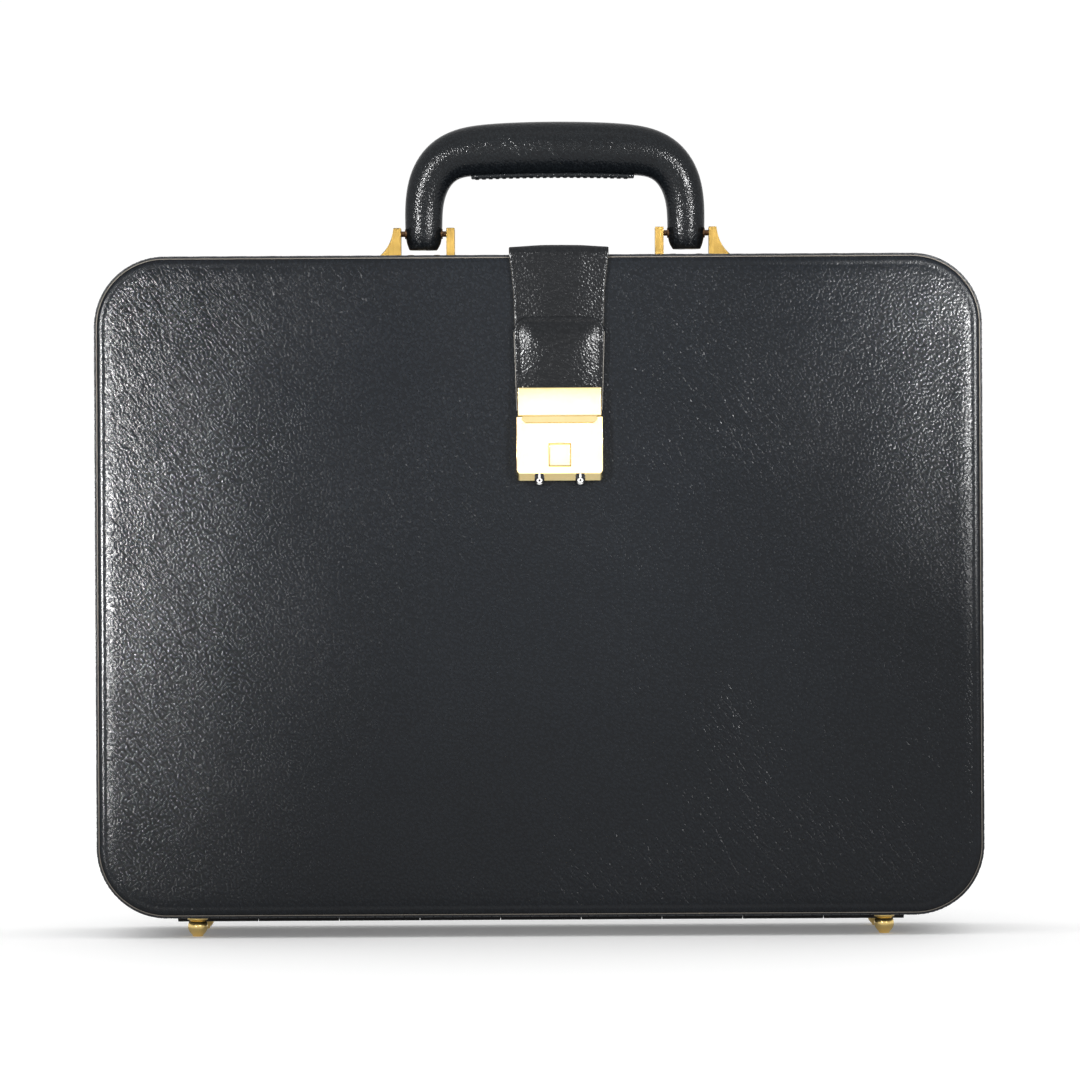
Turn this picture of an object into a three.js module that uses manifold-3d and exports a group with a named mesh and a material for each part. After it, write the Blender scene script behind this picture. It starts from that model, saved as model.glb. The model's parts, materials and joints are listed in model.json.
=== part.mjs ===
// A hard-sided leather attache case that stands on four ball feet. The base is the back half, the lid is the
// front half, hinged along the bottom edge. Millimetres, +X right, +Y to the back, +Z up, floor at z = 0.
import * as THREE from "three";
import { mergeVertices } from "three/addons/utils/BufferGeometryUtils.js";
import Module from "manifold-3d";

const wasm = await Module();
wasm.setup();

// Overall sizes
const CASE_WIDTH = 440;
const CASE_HEIGHT = 328;
const CASE_DEPTH = 100;
const LID_DEPTH = 38;
const CORNER_RADIUS = 35;
const FOOT_HEIGHT = 10;

// Walls, from the outside in
const BAND_WALL = 1.4;
const PANEL_LEATHER = 1.6;
const PANEL_INSET = 1.2;
const BOARD = 3;
const FRAME_WALL = 6;
const LINING_WALL = 1.2;
const LINING_FLOOR = 0.8;
const SPLIT_GAP = 0.3;
const LIP_REACH = 4.7;
const LIP_SEAT = 8;

// Clearances
const GAP = 0.3;
const RUNNING = 0.05;

// Feet
const FOOT_RADIUS = 5;
const FOOT_NECK_RADIUS = 4;
const FOOT_FLAT_RADIUS = 2.8;
const FOOT_FROM_CENTRE = 171;
const FOOT_SPACING_Y = 60;

// Hinge along the bottom of the split
const HINGE_LENGTH = 364;
const HINGE_BARREL_RADIUS = 1.9;
const HINGE_PIN_RADIUS = 0.9;
const HINGE_LEAF_WIDTH = 14;
const HINGE_LEAF = 0.8;
const HINGE_KNUCKLES = 9;

// Quadrant stays, arcs about the hinge axis
const STAY_INNER_RADIUS = 29.5;
const STAY_WIDTH = 4.5;
const STAY_THICKNESS = 1.2;
const STAY_ABOVE_FLOOR = 0.79;
const STAY_BACK_DEG = 59.5;
const GUIDE_RAIL = 1.6;
const GUIDE_PLATE = 1;
const GUIDE_SPAN_DEG = 9;
const BASE_GUIDE_DEG = 3;
const LID_GUIDE_DEG = 10;
const GUIDE_FOOT = 8;
const GUIDE_LEAN = 0.6;
const RIVET_HEIGHT = 84;
const RIVET_HEAD_RADIUS = 2.3;
const RIVET_HEAD = 1.1;
const RIVET_SHANK_RADIUS = 1.2;
const RIVET_BEHIND_SPLIT = 12;

// Strap and lock share a centre line a little right of the middle
const FITTINGS_X = 10.5;

// Strap
const STRAP_THICKNESS = 3.4;
const STRAP_WIDTH = 49.5;
const STRAP_END_WIDTH = 42;
const STRAP_BACK_LENGTH = 62;
const CHAPE_THICKNESS = 1.8;
const CHAPE_TOP_FROM_TOP = 31;
const CHAPE_TOP_WIDTH = 45;
const CHAPE_CORNER = 7;
const STRAP_RIVET_SPACING = 26;

// Lock on the lid
const LOCK_WIDTH = 42.3;
const LOCK_HEIGHT = 31.4;
const LOCK_TOP_FROM_TOP = 80.7;
const LOCK_DEPTH = 10.6;
const LOCK_WALL = 1.2;
const LOCK_SIDE = 1.6;
const LOCK_HEAD = 4.5;
const LOCK_CHAMFER = 3.5;
const LOCK_CORNER = 1.5;
const LOCK_BACK = 0.8;
const BUTTON_WIDTH = 10.5;
const BUTTON_HEIGHT = 10.9;
const BUTTON_PROUD = 2;
const BUTTON_UP = 12.6;
const BUTTON_FLANGE = 1;
const BUTTON_FLANGE_RIM = 1;
const BUTTON_RECESS_RADIUS = 6.3;
const BUTTON_RECESS = 0.5;
const SPRING_RADIUS = 3;
const SPRING_WIRE = 0.35;
const SPRING_TURNS = 5;
const DIAL_RADIUS = 4;
const DIAL_BEHIND_FACE = 1.5;
const DIAL_WIDTH = 4.2;
const DIAL_FROM_CENTRE = 10.1;
const DIAL_UP = 2;
const DIAL_AXLE_RADIUS = 0.9;
const LATCH_WIDTH = 6;
const LATCH_THICKNESS = 1.6;
const LATCH_LENGTH = 9;

// Hasp on the strap
const HASP_WIDTH = 41.1;
const HASP_HEIGHT = 14.3;
const HASP_PLATE = 4.6;
const HASP_SHELF = 2.5;
const LIP_WIDTH = 37;
const LIP_HEIGHT = 3.3;
const LIP_THICKNESS = 2.4;
const HOOK_WIDTH = 9;
const HOOK_REACH = 3.4;
const HOOK_THICKNESS = 1.6;

// Handle and its brackets
const HANDLE_X = 8.8;
const ARM_FROM_CENTRE = 66;
const PIN_UP = 13;
const PIN_BEHIND_CENTRE = 2;
const PIN_RADIUS = 1.5;
const BUSH_WALL = 1;
const EAR_GAP = 22.8;
const EAR_INNER = 4.2;
const EAR_OUTER = 3.8;
const EAR_UP = 15.8;
const EAR_DEPTH = 15;
const EAR_FOOT = 9.6;
const BRACKET_PLATE = 1.6;
const BRACKET_DEPTH = 22;
const SCREW_HEAD_RADIUS = 2.2;
const SCREW_HEAD = 0.9;
const SCREW_SPACING = 13;
const HANDLE_DEPTH = 15;
const ARM_WIDTH = 19;
const ARM_DOWN = 8.3;
const GRIP_UP = 56.4;
const GRIP_UNDER = 29.5;

// Pocket inside the lid
const POCKET_WIDTH = 320;
const POCKET_HEIGHT = 205;
const POCKET_SPACE = 9;
const POCKET_SHEET = 1.6;
const POCKET_EDGE = 6;

// Places worked out from the sizes above. Y is measured from the middle of the case's depth.
const BOTTOM = FOOT_HEIGHT;
const TOP = BOTTOM + CASE_HEIGHT;
const FRONT = -CASE_DEPTH / 2;
const BACK = CASE_DEPTH / 2;
const SPLIT = FRONT + LID_DEPTH;
const HINGE_Z = BOTTOM - HINGE_BARREL_RADIUS;
const WALL_INSET = BAND_WALL + FRAME_WALL;
const ROOM_INSET = WALL_INSET + LINING_WALL;
const ROOM_X = CASE_WIDTH / 2 - ROOM_INSET;
const GUIDE_FROM_CENTRE = CASE_WIDTH / 2 - CORNER_RADIUS;
const STAY_LOW = BOTTOM + ROOM_INSET + STAY_ABOVE_FLOOR - HINGE_Z;
const STAY_FRONT_DEG = THREE.MathUtils.radToDeg(Math.acos(STAY_LOW / STAY_INNER_RADIUS));
const LID_FLOOR = FRONT + PANEL_LEATHER + BOARD;
const BASE_FLOOR = BACK - PANEL_LEATHER - BOARD;
const PANEL_FACE = FRONT;
const LOCK_FACE = PANEL_FACE - LOCK_DEPTH;
const LOCK_TOP = TOP - LOCK_TOP_FROM_TOP;
const LOCK_BOTTOM = LOCK_TOP - LOCK_HEIGHT;
const PIN_Z = TOP + PIN_UP;
const STRAP_GAP = GAP;
const STRAP_FRONT = PANEL_FACE - STRAP_GAP - STRAP_THICKNESS;
const STRAP_AXIS_Y = PANEL_FACE + STRAP_THICKNESS / 2;
const STRAP_AXIS_Z = TOP + STRAP_GAP + STRAP_THICKNESS / 2;
const HASP_BOTTOM = LOCK_TOP + GAP;
const HASP_FACE = STRAP_FRONT - CHAPE_THICKNESS - HASP_PLATE;
const LOCK_LIP_Z = HASP_BOTTOM - LIP_HEIGHT - GAP;

// The origin is midway between the foremost and hindmost faces, so everything is shifted by this much.
const FOREMOST = LOCK_FACE - BUTTON_PROUD;
const HINDMOST = BACK + STRAP_GAP + STRAP_THICKNESS + RIVET_HEAD;
const SHIFT_Y = -(FOREMOST + HINDMOST) / 2;

const group = new THREE.Group();

// Solids

function toSolid(geometry) {
  const bare = geometry.clone();
  bare.deleteAttribute("normal");
  bare.deleteAttribute("uv");
  const merged = mergeVertices(bare, 1e-4);
  const vertProperties = new Float32Array(merged.attributes.position.array);
  const triVerts = new Uint32Array(merged.index.array);
  return new wasm.Manifold(new wasm.Mesh({ numProp: 3, vertProperties, triVerts }));
}

function toGeometry(solid) {
  const mesh = solid.getMesh();
  const geometry = new THREE.BufferGeometry();
  geometry.setAttribute("position", new THREE.BufferAttribute(mesh.vertProperties, 3));
  geometry.setIndex(new THREE.BufferAttribute(mesh.triVerts, 1));
  const flat = geometry.toNonIndexed();
  flat.computeVertexNormals();
  return flat;
}

function joinAll(solids) {
  return solids.reduce((whole, next) => whole.add(next));
}

function box(x0, x1, y0, y1, z0, z1) {
  const geometry = new THREE.BoxGeometry(x1 - x0, y1 - y0, z1 - z0);
  geometry.translate((x0 + x1) / 2, (y0 + y1) / 2, (z0 + z1) / 2);
  return toSolid(geometry);
}

function rodX(radius, x0, x1, y, z, sides = 20) {
  const geometry = new THREE.CylinderGeometry(radius, radius, x1 - x0, sides);
  geometry.rotateZ(Math.PI / 2);
  geometry.translate((x0 + x1) / 2, y, z);
  return toSolid(geometry);
}

function rodY(radius, x, y0, y1, z, sides = 20) {
  const geometry = new THREE.CylinderGeometry(radius, radius, y1 - y0, sides);
  geometry.translate(x, (y0 + y1) / 2, z);
  return toSolid(geometry);
}

// An outline drawn in X and Z, pushed from y0 to y1.
function slabXZ(shape, y0, y1, curveSegments = 5) {
  const geometry = new THREE.ExtrudeGeometry(shape, { depth: y1 - y0, bevelEnabled: false, curveSegments });
  geometry.rotateX(Math.PI / 2);
  geometry.translate(0, y1, 0);
  return toSolid(geometry);
}

// An outline drawn in Y and Z, pushed from x0 to x1.
function slabYZ(shape, x0, x1, curveSegments = 10) {
  const geometry = new THREE.ExtrudeGeometry(shape, { depth: x1 - x0, bevelEnabled: false, curveSegments });
  geometry.rotateY(Math.PI / 2);
  geometry.rotateX(Math.PI / 2);
  geometry.translate(x0, 0, 0);
  return toSolid(geometry);
}

function polygon(points) {
  return new THREE.Shape(points.map(([a, b]) => new THREE.Vector2(a, b)));
}

// The case's outline, brought in by inset on every side.
function caseOutline(inset) {
  const halfWidth = CASE_WIDTH / 2 - inset;
  const low = BOTTOM + inset;
  const high = TOP - inset;
  const r = CORNER_RADIUS - inset;
  const shape = new THREE.Shape();
  shape.moveTo(-halfWidth + r, low);
  shape.absarc(halfWidth - r, low + r, r, -Math.PI / 2, 0);
  shape.absarc(halfWidth - r, high - r, r, 0, Math.PI / 2);
  shape.absarc(-halfWidth + r, high - r, r, Math.PI / 2, Math.PI);
  shape.absarc(-halfWidth + r, low + r, r, Math.PI, 1.5 * Math.PI);
  return shape;
}

function caseSlab(inset, y0, y1) {
  return slabXZ(caseOutline(inset), y0, y1);
}

function caseRing(outerInset, innerInset, y0, y1) {
  return caseSlab(outerInset, y0, y1).subtract(caseSlab(innerInset, y0 - 1, y1 + 1));
}

const MATERIALS = {
  leather: { color: 0x16161a, roughness: 0.5, metalness: 0 },
  brass: { color: 0xd9a93f, roughness: 0.18, metalness: 1 },
  blackMetal: { color: 0x141414, roughness: 0.4, metalness: 0.6 },
  wood: { color: 0xb98d5a, roughness: 0.7, metalness: 0 },
  board: { color: 0x8a8478, roughness: 0.9, metalness: 0 },
  suede: { color: 0x6b4a2e, roughness: 0.95, metalness: 0 },
  steel: { color: 0xa9a9a9, roughness: 0.3, metalness: 1 },
  dial: { color: 0x0a0a0a, roughness: 0.35, metalness: 0 },
};

function add(name, solid, material) {
  const geometry = toGeometry(solid);
  geometry.translate(0, SHIFT_Y, 0);
  const mesh = new THREE.Mesh(geometry, new THREE.MeshStandardMaterial(MATERIALS[material]));
  mesh.name = name;
  group.add(mesh);
}

const SIDES = [["left", -1], ["right", 1]];

// The two halves: a leather band and panel over a board and a wooden frame, with a suede lining.

function rivetHole(side) {
  const x = side * CASE_WIDTH / 2;
  const reach = ROOM_INSET + 1;
  return rodX(RIVET_SHANK_RADIUS + GAP, x - reach, x + reach, SPLIT + RIVET_BEHIND_SPLIT, RIVET_HEIGHT, 12);
}

function withRivetHoles(solid) {
  return solid.subtract(rivetHole(-1)).subtract(rivetHole(1));
}

function addBaseHalf() {
  const edge = SPLIT + SPLIT_GAP / 2;
  const lipBack = edge + LIP_SEAT;
  const tray = caseRing(WALL_INSET, ROOM_INSET, lipBack, BASE_FLOOR - LINING_FLOOR);
  const floor = caseSlab(WALL_INSET, BASE_FLOOR - LINING_FLOOR, BASE_FLOOR);
  add("base_band", withRivetHoles(caseRing(0, BAND_WALL, edge, BACK - PANEL_LEATHER)), "leather");
  add("base_panel", caseSlab(PANEL_INSET, BACK - PANEL_LEATHER, BACK), "leather");
  add("base_board", caseSlab(BAND_WALL, BASE_FLOOR, BACK - PANEL_LEATHER), "board");
  add("base_frame", withRivetHoles(caseRing(BAND_WALL, WALL_INSET, edge, BASE_FLOOR)), "wood");
  add("base_lining", withRivetHoles(tray.add(floor)), "suede");
}

function addDustLip() {
  const edge = SPLIT + SPLIT_GAP / 2;
  const seated = caseRing(WALL_INSET, ROOM_INSET, edge, edge + LIP_SEAT);
  const reaching = caseRing(WALL_INSET + GAP, ROOM_INSET, edge - LIP_REACH, edge);
  add("dust_lip", seated.add(reaching), "suede");
}

function addLidHalf() {
  const edge = SPLIT - SPLIT_GAP / 2;
  const lipFront = SPLIT + SPLIT_GAP / 2 - LIP_REACH - GAP;
  const tray = caseRing(WALL_INSET, ROOM_INSET, LID_FLOOR + LINING_FLOOR, lipFront);
  const floor = caseSlab(WALL_INSET, LID_FLOOR, LID_FLOOR + LINING_FLOOR);
  add("lid_band", caseRing(0, BAND_WALL, FRONT + PANEL_LEATHER, edge), "leather");
  add("lid_panel", caseSlab(PANEL_INSET, FRONT, FRONT + PANEL_LEATHER), "leather");
  add("lid_board", caseSlab(BAND_WALL, FRONT + PANEL_LEATHER, LID_FLOOR), "board");
  add("lid_frame", caseRing(BAND_WALL, WALL_INSET, LID_FLOOR, edge), "wood");
  add("lid_lining", tray.add(floor), "suede");
}

// A document pocket on the lid's lining: a stiff sheet on a U-shaped edge, open at the top.
function addLidPocket() {
  const low = BOTTOM + ROOM_INSET + GAP;
  const high = low + POCKET_HEIGHT;
  const half = POCKET_WIDTH / 2;
  const back = LID_FLOOR + LINING_FLOOR;
  const face = back + POCKET_SPACE;
  const sheet = box(-half, half, face, face + POCKET_SHEET, low, high);
  const leftEdge = box(-half, -half + POCKET_EDGE, back, face, low, high);
  const rightEdge = box(half - POCKET_EDGE, half, back, face, low, high);
  const lowEdge = box(-half, half, back, face, low, low + POCKET_EDGE);
  add("lid_pocket", joinAll([sheet, leftEdge, rightEdge, lowEdge]), "suede");
}

// Four turned ball feet.
function footSolid(x, y) {
  const centre = FOOT_HEIGHT / 2;
  const points = [new THREE.Vector2(0, 0), new THREE.Vector2(FOOT_FLAT_RADIUS, 0)];
  const low = Math.asin(FOOT_FLAT_RADIUS / FOOT_RADIUS) - Math.PI / 2;
  const high = Math.acos(FOOT_NECK_RADIUS / FOOT_RADIUS);
  const steps = 6;
  for (let i = 1; i <= steps; i += 1) {
    const angle = low + ((high - low) * i) / steps;
    points.push(new THREE.Vector2(FOOT_RADIUS * Math.cos(angle), centre + FOOT_RADIUS * Math.sin(angle)));
  }
  points.push(new THREE.Vector2(FOOT_NECK_RADIUS, FOOT_HEIGHT));
  points.push(new THREE.Vector2(0, FOOT_HEIGHT));
  const geometry = new THREE.LatheGeometry(points, 16);
  geometry.rotateX(Math.PI / 2);
  geometry.translate(x, y, 0);
  return toSolid(geometry);
}

function addFeet() {
  for (const [side, sign] of SIDES) {
    add(`foot_front_${side}`, footSolid(sign * FOOT_FROM_CENTRE, -FOOT_SPACING_Y / 2), "brass");
    add(`foot_back_${side}`, footSolid(sign * FOOT_FROM_CENTRE, FOOT_SPACING_Y / 2), "brass");
  }
}

// The hinge: a pin, and a leaf on each half whose knuckles alternate along it.

function knuckleSpan(index) {
  const pitch = HINGE_LENGTH / HINGE_KNUCKLES;
  const start = -HINGE_LENGTH / 2 + index * pitch;
  return [start + GAP / 2, start + pitch - GAP / 2];
}

function hingeLeaf(sign, firstKnuckle) {
  const near = HINGE_BARREL_RADIUS + 2 * GAP;
  const ends = [SPLIT + sign * near, SPLIT + sign * HINGE_LEAF_WIDTH].sort((a, b) => a - b);
  const half = HINGE_LENGTH / 2;
  let leaf = box(-half, half, ends[0], ends[1], BOTTOM - HINGE_LEAF, BOTTOM);
  for (let i = firstKnuckle; i < HINGE_KNUCKLES; i += 2) {
    const [x0, x1] = knuckleSpan(i);
    const tab = [SPLIT, SPLIT + sign * (near + 1)].sort((a, b) => a - b);
    leaf = leaf.add(box(x0, x1, tab[0], tab[1], BOTTOM - HINGE_LEAF, BOTTOM));
    leaf = leaf.add(rodX(HINGE_BARREL_RADIUS, x0, x1, SPLIT, HINGE_Z, 16));
  }
  return leaf.subtract(rodX(HINGE_PIN_RADIUS + RUNNING, -half - 1, half + 1, SPLIT, HINGE_Z, 16));
}

function addHinge() {
  add("hinge_leaf_base", hingeLeaf(1, 0), "blackMetal");
  add("hinge_leaf_lid", hingeLeaf(-1, 1), "blackMetal");
  const half = HINGE_LENGTH / 2;
  add("hinge_pin", rodX(HINGE_PIN_RADIUS, -half, half, SPLIT, HINGE_Z, 16), "steel");
}

// Quadrant stays: an arc on each side slides through a guide on the lid and a guide on the base.

// A sector about the hinge axis, between two radii and two angles from upright, positive to the back.
function stayArc(inner, outer, fromDeg, toDeg, x0, x1) {
  const from = THREE.MathUtils.degToRad(90 - toDeg);
  const to = THREE.MathUtils.degToRad(90 - fromDeg);
  const shape = new THREE.Shape();
  shape.absarc(SPLIT, HINGE_Z, outer, from, to);
  shape.absarc(SPLIT, HINGE_Z, inner, to, from, true);
  return slabYZ(shape, x0, x1, (toDeg - fromDeg) > 2 * GUIDE_SPAN_DEG ? 10 : 2);
}

// Distances in from the outer face of a guide, as an ordered pair of x values.
function inFromGuide(sign, near, far) {
  return [sign * (GUIDE_FROM_CENTRE - near), sign * (GUIDE_FROM_CENTRE - far)].sort((a, b) => a - b);
}

// Two rails on an upright plate, which stands on a foot screwed to the bottom wall.
function stayGuide(sign, fromDeg, toDeg) {
  const outer = STAY_INNER_RADIUS + STAY_WIDTH;
  const rails = inFromGuide(sign, 0, GUIDE_PLATE + GAP + STAY_THICKNESS);
  const plate = inFromGuide(sign, 0, GUIDE_PLATE);
  const foot = inFromGuide(sign, 0, GUIDE_FOOT);
  const lowRail = [STAY_INNER_RADIUS - GAP - GUIDE_RAIL, STAY_INNER_RADIUS - GAP];
  const highRail = [outer + GAP, outer + GAP + GUIDE_RAIL];
  const floor = BOTTOM + ROOM_INSET;
  const [y0, y1] = [fromDeg, toDeg].map(
    (deg) => SPLIT + STAY_INNER_RADIUS * Math.sin(THREE.MathUtils.degToRad(deg)));
  const low = Math.min(y0, y1) - (fromDeg < 0 ? GUIDE_LEAN : 0);
  const high = Math.max(y0, y1) - (fromDeg < 0 ? GUIDE_LEAN : 0);
  return joinAll([
    stayArc(lowRail[0], highRail[1], fromDeg, toDeg, ...plate),
    stayArc(...lowRail, fromDeg, toDeg, ...rails),
    stayArc(...highRail, fromDeg, toDeg, ...rails),
    box(...plate, low, high, floor, HINGE_Z + STAY_INNER_RADIUS - GUIDE_RAIL),
    box(...foot, low, high, floor, floor + GUIDE_PLATE),
  ]);
}

function addStays() {
  for (const [side, sign] of SIDES) {
    const baseGuide = stayGuide(sign, BASE_GUIDE_DEG, BASE_GUIDE_DEG + GUIDE_SPAN_DEG);
    const lidGuide = stayGuide(sign, -LID_GUIDE_DEG - GUIDE_SPAN_DEG, -LID_GUIDE_DEG);
    const link = inFromGuide(sign, GUIDE_PLATE + GAP, GUIDE_PLATE + GAP + STAY_THICKNESS);
    const outer = STAY_INNER_RADIUS + STAY_WIDTH;
    add(`stay_guide_base_${side}`, baseGuide, "brass");
    add(`stay_guide_lid_${side}`, lidGuide, "brass");
    add(`stay_${side}`, stayArc(STAY_INNER_RADIUS, outer, -STAY_FRONT_DEG, STAY_BACK_DEG, ...link), "brass");
  }
}

// A domed rivet through each side wall of the base.
function domeX(sign, x, y, z, radius, height) {
  const sphere = (radius * radius + height * height) / (2 * height);
  const end = Math.asin(radius / sphere);
  const points = [new THREE.Vector2(0, 0), new THREE.Vector2(radius, 0)];
  for (let i = 1; i < 5; i += 1) {
    const angle = end * (1 - i / 5);
    points.push(new THREE.Vector2(sphere * Math.sin(angle), sphere * Math.cos(angle) - sphere + height));
  }
  points.push(new THREE.Vector2(0, height));
  const geometry = new THREE.LatheGeometry(points, 16);
  geometry.rotateZ(-sign * Math.PI / 2);
  geometry.translate(x, y, z);
  return toSolid(geometry);
}

function addSideRivets() {
  for (const [side, sign] of SIDES) {
    const y = SPLIT + RIVET_BEHIND_SPLIT;
    const wall = sign * CASE_WIDTH / 2;
    const inner = sign * ROOM_X;
    const [x0, x1] = [wall, inner].sort((a, b) => a - b);
    const head = domeX(sign, wall, y, RIVET_HEIGHT, RIVET_HEAD_RADIUS, RIVET_HEAD);
    const shank = rodX(RIVET_SHANK_RADIUS, x0, x1, y, RIVET_HEIGHT, 12);
    const overlap = rodX(RIVET_SHANK_RADIUS, wall - 0.2, wall + 0.2, y, RIVET_HEIGHT, 12);
    add(`side_rivet_${side}`, joinAll([head, shank, overlap]), "brass");
  }
}

// Strap: the root is riveted to the back, runs over the top and ends at the front edge.

function strapRootSolid() {
  const half = STRAP_WIDTH / 2;
  const low = TOP + STRAP_GAP;
  const high = low + STRAP_THICKNESS;
  const inner = BACK + STRAP_GAP;
  const outer = inner + STRAP_THICKNESS;
  const bottom = TOP - STRAP_BACK_LENGTH;
  const bend = STRAP_THICKNESS + 1;
  const end = STRAP_AXIS_Y + STRAP_THICKNESS / 2 + GAP;
  const shape = new THREE.Shape();
  shape.moveTo(end, low);
  shape.lineTo(inner, low);
  shape.lineTo(inner, bottom);
  shape.lineTo(outer, bottom);
  shape.lineTo(outer, high - bend);
  shape.absarc(outer - bend, high - bend, bend, 0, Math.PI / 2);
  shape.lineTo(end, high);
  return slabYZ(shape, FITTINGS_X - half, FITTINGS_X + half, 6);
}

function strapRivetHoles(solid) {
  return [-1, 1].reduce((cut, sign) => {
    const x = FITTINGS_X + sign * STRAP_RIVET_SPACING / 2;
    return cut.subtract(rodY(RIVET_SHANK_RADIUS + GAP, x, BACK, BACK + 20, strapRivetZ(), 12));
  }, solid);
}

function strapRivetZ() {
  return TOP - STRAP_BACK_LENGTH + 9;
}

function addStrapRoot() {
  add("strap_root", strapRivetHoles(strapRootSolid()), "leather");
  for (const [side, sign] of SIDES) {
    const x = FITTINGS_X + sign * STRAP_RIVET_SPACING / 2;
    const head = BACK + STRAP_GAP + STRAP_THICKNESS;
    const disc = rodY(RIVET_HEAD_RADIUS, x, head, head + RIVET_HEAD, strapRivetZ(), 16);
    const shank = rodY(RIVET_SHANK_RADIUS, x, BACK, head + RIVET_HEAD / 2, strapRivetZ(), 12);
    add(`strap_rivet_${side}`, disc.add(shank), "brass");
  }
}

// The strap's front leg, which swings up about the front edge, with its second layer and the hasp.

function strapLegSolid() {
  const high = STRAP_AXIS_Z + STRAP_THICKNESS / 2;
  const bend = STRAP_THICKNESS;
  const back = STRAP_FRONT + STRAP_THICKNESS;
  const side = new THREE.Shape();
  side.moveTo(STRAP_AXIS_Y, high);
  side.lineTo(STRAP_FRONT + bend, high);
  side.absarc(STRAP_FRONT + bend, high - bend, bend, Math.PI / 2, Math.PI);
  side.lineTo(STRAP_FRONT, HASP_BOTTOM + HASP_SHELF + GAP);
  side.lineTo(back, HASP_BOTTOM + HASP_SHELF + GAP);
  side.lineTo(back, high - STRAP_THICKNESS);
  side.lineTo(STRAP_AXIS_Y, high - STRAP_THICKNESS);
  side.absarc(STRAP_AXIS_Y, STRAP_AXIS_Z, STRAP_THICKNESS / 2, -Math.PI / 2, Math.PI / 2);
  const half = STRAP_WIDTH / 2;
  return slabYZ(side, FITTINGS_X - half, FITTINGS_X + half, 6).intersect(strapTaper());
}

// The strap's front view: full width over the top edge, narrower at the hasp.
function strapTaper() {
  const half = STRAP_WIDTH / 2;
  const end = STRAP_END_WIDTH / 2;
  const mid = (2 * end + half) / 3;
  const shape = polygon([
    [FITTINGS_X - end, HASP_BOTTOM - 5],
    [FITTINGS_X + end, HASP_BOTTOM - 5],
    [FITTINGS_X + mid, TOP - CHAPE_TOP_FROM_TOP],
    [FITTINGS_X + half, TOP],
    [FITTINGS_X + half, TOP + 10],
    [FITTINGS_X - half, TOP + 10],
    [FITTINGS_X - half, TOP],
    [FITTINGS_X - mid, TOP - CHAPE_TOP_FROM_TOP],
  ]);
  return slabXZ(shape, STRAP_FRONT - 5, STRAP_AXIS_Y + 5);
}

function chapeSolid() {
  const low = HASP_BOTTOM + HASP_SHELF + GAP;
  const high = TOP - CHAPE_TOP_FROM_TOP;
  const top = CHAPE_TOP_WIDTH / 2;
  const end = STRAP_END_WIDTH / 2;
  const shape = new THREE.Shape();
  shape.moveTo(FITTINGS_X - end, low);
  shape.lineTo(FITTINGS_X + end, low);
  shape.lineTo(FITTINGS_X + top, high - CHAPE_CORNER);
  shape.absarc(FITTINGS_X + top - CHAPE_CORNER, high - CHAPE_CORNER, CHAPE_CORNER, 0, Math.PI / 2);
  shape.absarc(FITTINGS_X - top + CHAPE_CORNER, high - CHAPE_CORNER, CHAPE_CORNER, Math.PI / 2, Math.PI);
  return slabXZ(shape, STRAP_FRONT - CHAPE_THICKNESS, STRAP_FRONT, 6);
}

function haspSolid() {
  const x0 = FITTINGS_X - HASP_WIDTH / 2;
  const x1 = FITTINGS_X + HASP_WIDTH / 2;
  const plateBack = HASP_FACE + HASP_PLATE;
  const lipLow = HASP_BOTTOM - LIP_HEIGHT;
  const hookFront = HASP_FACE + LIP_THICKNESS;
  const hookLow = lipLow + 1;
  const lipHalf = LIP_WIDTH / 2;
  const hookHalf = HOOK_WIDTH / 2;
  return joinAll([
    box(x0, x1, HASP_FACE, plateBack, HASP_BOTTOM, HASP_BOTTOM + HASP_HEIGHT),
    box(x0, x1, HASP_FACE, STRAP_FRONT + STRAP_THICKNESS, HASP_BOTTOM, HASP_BOTTOM + HASP_SHELF),
    box(FITTINGS_X - lipHalf, FITTINGS_X + lipHalf, HASP_FACE, hookFront, lipLow, HASP_BOTTOM + 1),
    box(FITTINGS_X - hookHalf, FITTINGS_X + hookHalf, hookFront - 1, hookFront + HOOK_REACH,
      hookLow, hookLow + HOOK_THICKNESS),
  ]);
}

function addStrapFlap() {
  add("strap_leg", strapLegSolid(), "leather");
  add("strap_chape", chapeSolid(), "leather");
  add("hasp_plate", haspSolid(), "brass");
}

// Lock case: a brass box on the lid with a window for the button, two windows for the dials in its chamfer,
// and a rebate at the top for the hasp's lip and hook.

function lockBlock() {
  const half = LOCK_WIDTH / 2;
  const back = PANEL_FACE - LOCK_BACK;
  const side = polygon([
    [LOCK_FACE, LOCK_TOP],
    [LOCK_FACE, LOCK_BOTTOM + LOCK_CHAMFER],
    [LOCK_FACE + LOCK_CHAMFER, LOCK_BOTTOM],
    [back, LOCK_BOTTOM],
    [back, LOCK_TOP],
  ]);
  const front = new THREE.Shape();
  front.moveTo(FITTINGS_X - half, LOCK_TOP);
  front.absarc(FITTINGS_X - half + LOCK_CORNER, LOCK_BOTTOM + LOCK_CORNER, LOCK_CORNER, Math.PI, 1.5 * Math.PI);
  front.absarc(FITTINGS_X + half - LOCK_CORNER, LOCK_BOTTOM + LOCK_CORNER, LOCK_CORNER, 1.5 * Math.PI, 2 * Math.PI);
  front.lineTo(FITTINGS_X + half, LOCK_TOP);
  const whole = slabYZ(side, FITTINGS_X - half, FITTINGS_X + half);
  return whole.intersect(slabXZ(front, LOCK_FACE - 1, PANEL_FACE, 6));
}

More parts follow.
